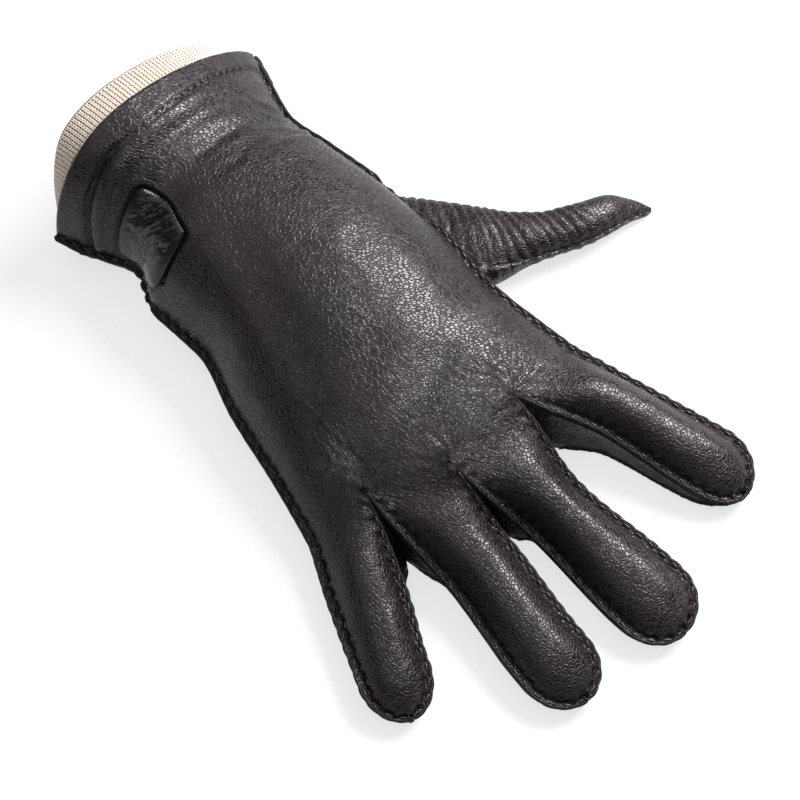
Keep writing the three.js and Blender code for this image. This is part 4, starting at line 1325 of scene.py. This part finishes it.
def knit_tube(shows, sizes):
    """The knit's ground: a thick tube whose profile goes out of the cuff, round its edge and back in. Its
    dark finish is painted shade, which shows between the loops.
    """
    outside = [(0.5, 3.0), (0.25, 3.0), (0.1, 2.4), (0.03, 1.2), (0.0, 0.4)]
    edge = [(0.9, 0.4), (0.25, 0.6), (0.0, 1.1), (0.25, 1.6), (0.9, 1.9)]
    inside = [(0.0, 2.1), (0.03, 2.6), (0.1, 3.6), (0.25, 4.2), (0.5, 4.2)]
    profile = outside + [(short - shows, margin) for short, margin in edge] + inside
    rings = [evenly(lining_ring(row, margin, sizes), KNIT_COLUMNS)[0] for row, margin in profile]
    index = np.arange(len(rings) * KNIT_COLUMNS).reshape(len(rings), KNIT_COLUMNS)
    closed = np.concatenate([index, index[:, :1]], axis=1)
    closed = np.concatenate([closed, closed[:1]], axis=0)
    return np.concatenate(rings), as_triangles(grid_quads(closed))[:, ::-1]


def knit_loops(shows, sizes):
    """The loops on the ground's outside: two leaning legs for each, in rows from the cuff's edge outwards."""
    wale = sizes.wale * 1e3
    wales = int(round(evenly(lining_ring(0, 0.0, sizes), KNIT_COLUMNS)[1] / wale))
    outwards = np.array([0.0, 1.0, 0.0])
    centres, aims, ups = [], [], []
    for row in np.arange(0.6, -shows + 0.6, -KNIT_COURSE):
        ring = evenly(lining_ring(min(row, 0), 0.1, sizes) - outwards * max(row, 0), wales)[0]
        around = unit(np.roll(ring, -1, axis=0) - np.roll(ring, 1, axis=0))
        up = unit(np.cross(around, outwards))
        up = up * np.sign(np.sum(up * (ring - ring.mean(axis=0)), axis=1))[:, None]
        for lean in (-1, 1):
            centres.append(ring + around * (lean * LEG_APART * wale))
            aims.append(unit(outwards + around * (lean * LEG_LEAN)))
            ups.append(up)
    centres, aims, ups = (np.concatenate(parts) for parts in (centres, aims, ups))
    return stitch_mesh(centres, aims, ups, LEG_LENGTH, LEG_RADIUS, rings=5)


class KnitLining(bpy.types.Operator):
    """The ribbed wool lining: a knitted tube that stands out of the cuff"""

    bl_idname = "glove.knit_lining"
    bl_label = "Knit lining"

    def execute(self, context):
        sizes = context.scene.glove_sizes
        shows = sizes.lining_shows * 1e3
        # The tube's finish is painted shade, seen between the loops
        piece = make_object("lining_tube", *knit_tube(shows, sizes), ("gap_painted_shade",))
        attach(piece, "root")
        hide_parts("knit_lining")
        loops = make_object("lining_loops", *knit_loops(shows, sizes), ("knit",))
        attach(loops, "root")
        return {"FINISHED"}


def add_object(name, data, place, direction):
    """A light or camera at a place, looking in a direction."""
    thing = bpy.data.objects.new(name, data)
    thing.location = place
    thing.rotation_euler = direction.to_track_quat("-Z", "Y").to_euler()
    bpy.context.scene.collection.objects.link(thing)
    return thing


class Studio(bpy.types.Operator):
    """White paper, soft studio light and the camera"""

    bl_idname = "glove.studio"
    bl_label = "Studio"

    def execute(self, context):
        scene = context.scene
        bpy.ops.mesh.primitive_plane_add(size=6, location=(0, 0, 0))
        floor = context.object
        floor.name = "paper_sweep"
        floor.data.materials.append(finish("paper"))
        world = bpy.data.worlds.new("studio")
        world.use_nodes = True
        background = world.node_tree.nodes["Background"].inputs
        background["Color"].default_value = (1, 1, 1, 1)
        background["Strength"].default_value = ROOM_LIGHT
        scene.view_settings.view_transform = "Standard"
        scene.world = world
        for name, place, target, size, watts, colour in LIGHTS:
            data = bpy.data.lights.new(name, "AREA")
            data.shape = "RECTANGLE"
            data.size, data.size_y = size
            data.energy = watts
            data.color = colour
            add_object(name, data, place, Vector(target) - Vector(place))
        data = bpy.data.cameras.new("camera")
        data.sensor_width = 36
        data.lens = CAMERA_LENS
        data.clip_start, data.clip_end = 0.01, 20
        level = math.cos(CAMERA_RISE)
        back = Vector((-math.sin(CAMERA_TURN) * level, -math.cos(CAMERA_TURN) * level, math.sin(CAMERA_RISE)))
        place = Vector(CAMERA_TARGET) + back * CAMERA_REACH
        scene.camera = add_object("camera", data, place, -back)
        return {"FINISHED"}


class GlovePanel(bpy.types.Panel):
    bl_idname = "VIEW3D_PT_glove"
    bl_label = "Glove"
    bl_space_type = "VIEW_3D"
    bl_region_type = "UI"
    bl_category = "Glove"

    def draw(self, context):
        for group in (context.scene.glove_sizes, context.scene.glove_colours):
            for key in group.__annotations__:
                self.layout.prop(group, key)
        for operator in OPERATORS:
            self.layout.operator(operator.bl_idname)


OPERATORS = (BackPanel, PalmPanel, Fourchettes, Thumb, Stitches, CuffPatch, KnitLining, Studio)
CLASSES = (GloveSizes, GloveColours, *OPERATORS, GlovePanel)


def register():
    for cls in CLASSES:
        bpy.utils.register_class(cls)
    bpy.types.Scene.glove_sizes = bpy.props.PointerProperty(type=GloveSizes)
    bpy.types.Scene.glove_colours = bpy.props.PointerProperty(type=GloveColours)


def unregister():
    del bpy.types.Scene.glove_colours
    del bpy.types.Scene.glove_sizes
    for cls in reversed(CLASSES):
        bpy.utils.unregister_class(cls)


def main():
    register()
    bpy.ops.glove.back_panel()
    bpy.ops.glove.palm_panel()
    bpy.ops.glove.fourchettes()
    bpy.ops.glove.thumb()
    bpy.ops.glove.stitches()
    bpy.ops.glove.cuff_patch()
    bpy.ops.glove.knit_lining()
    bpy.ops.glove.studio()


if __name__ == "__main__":
    main()
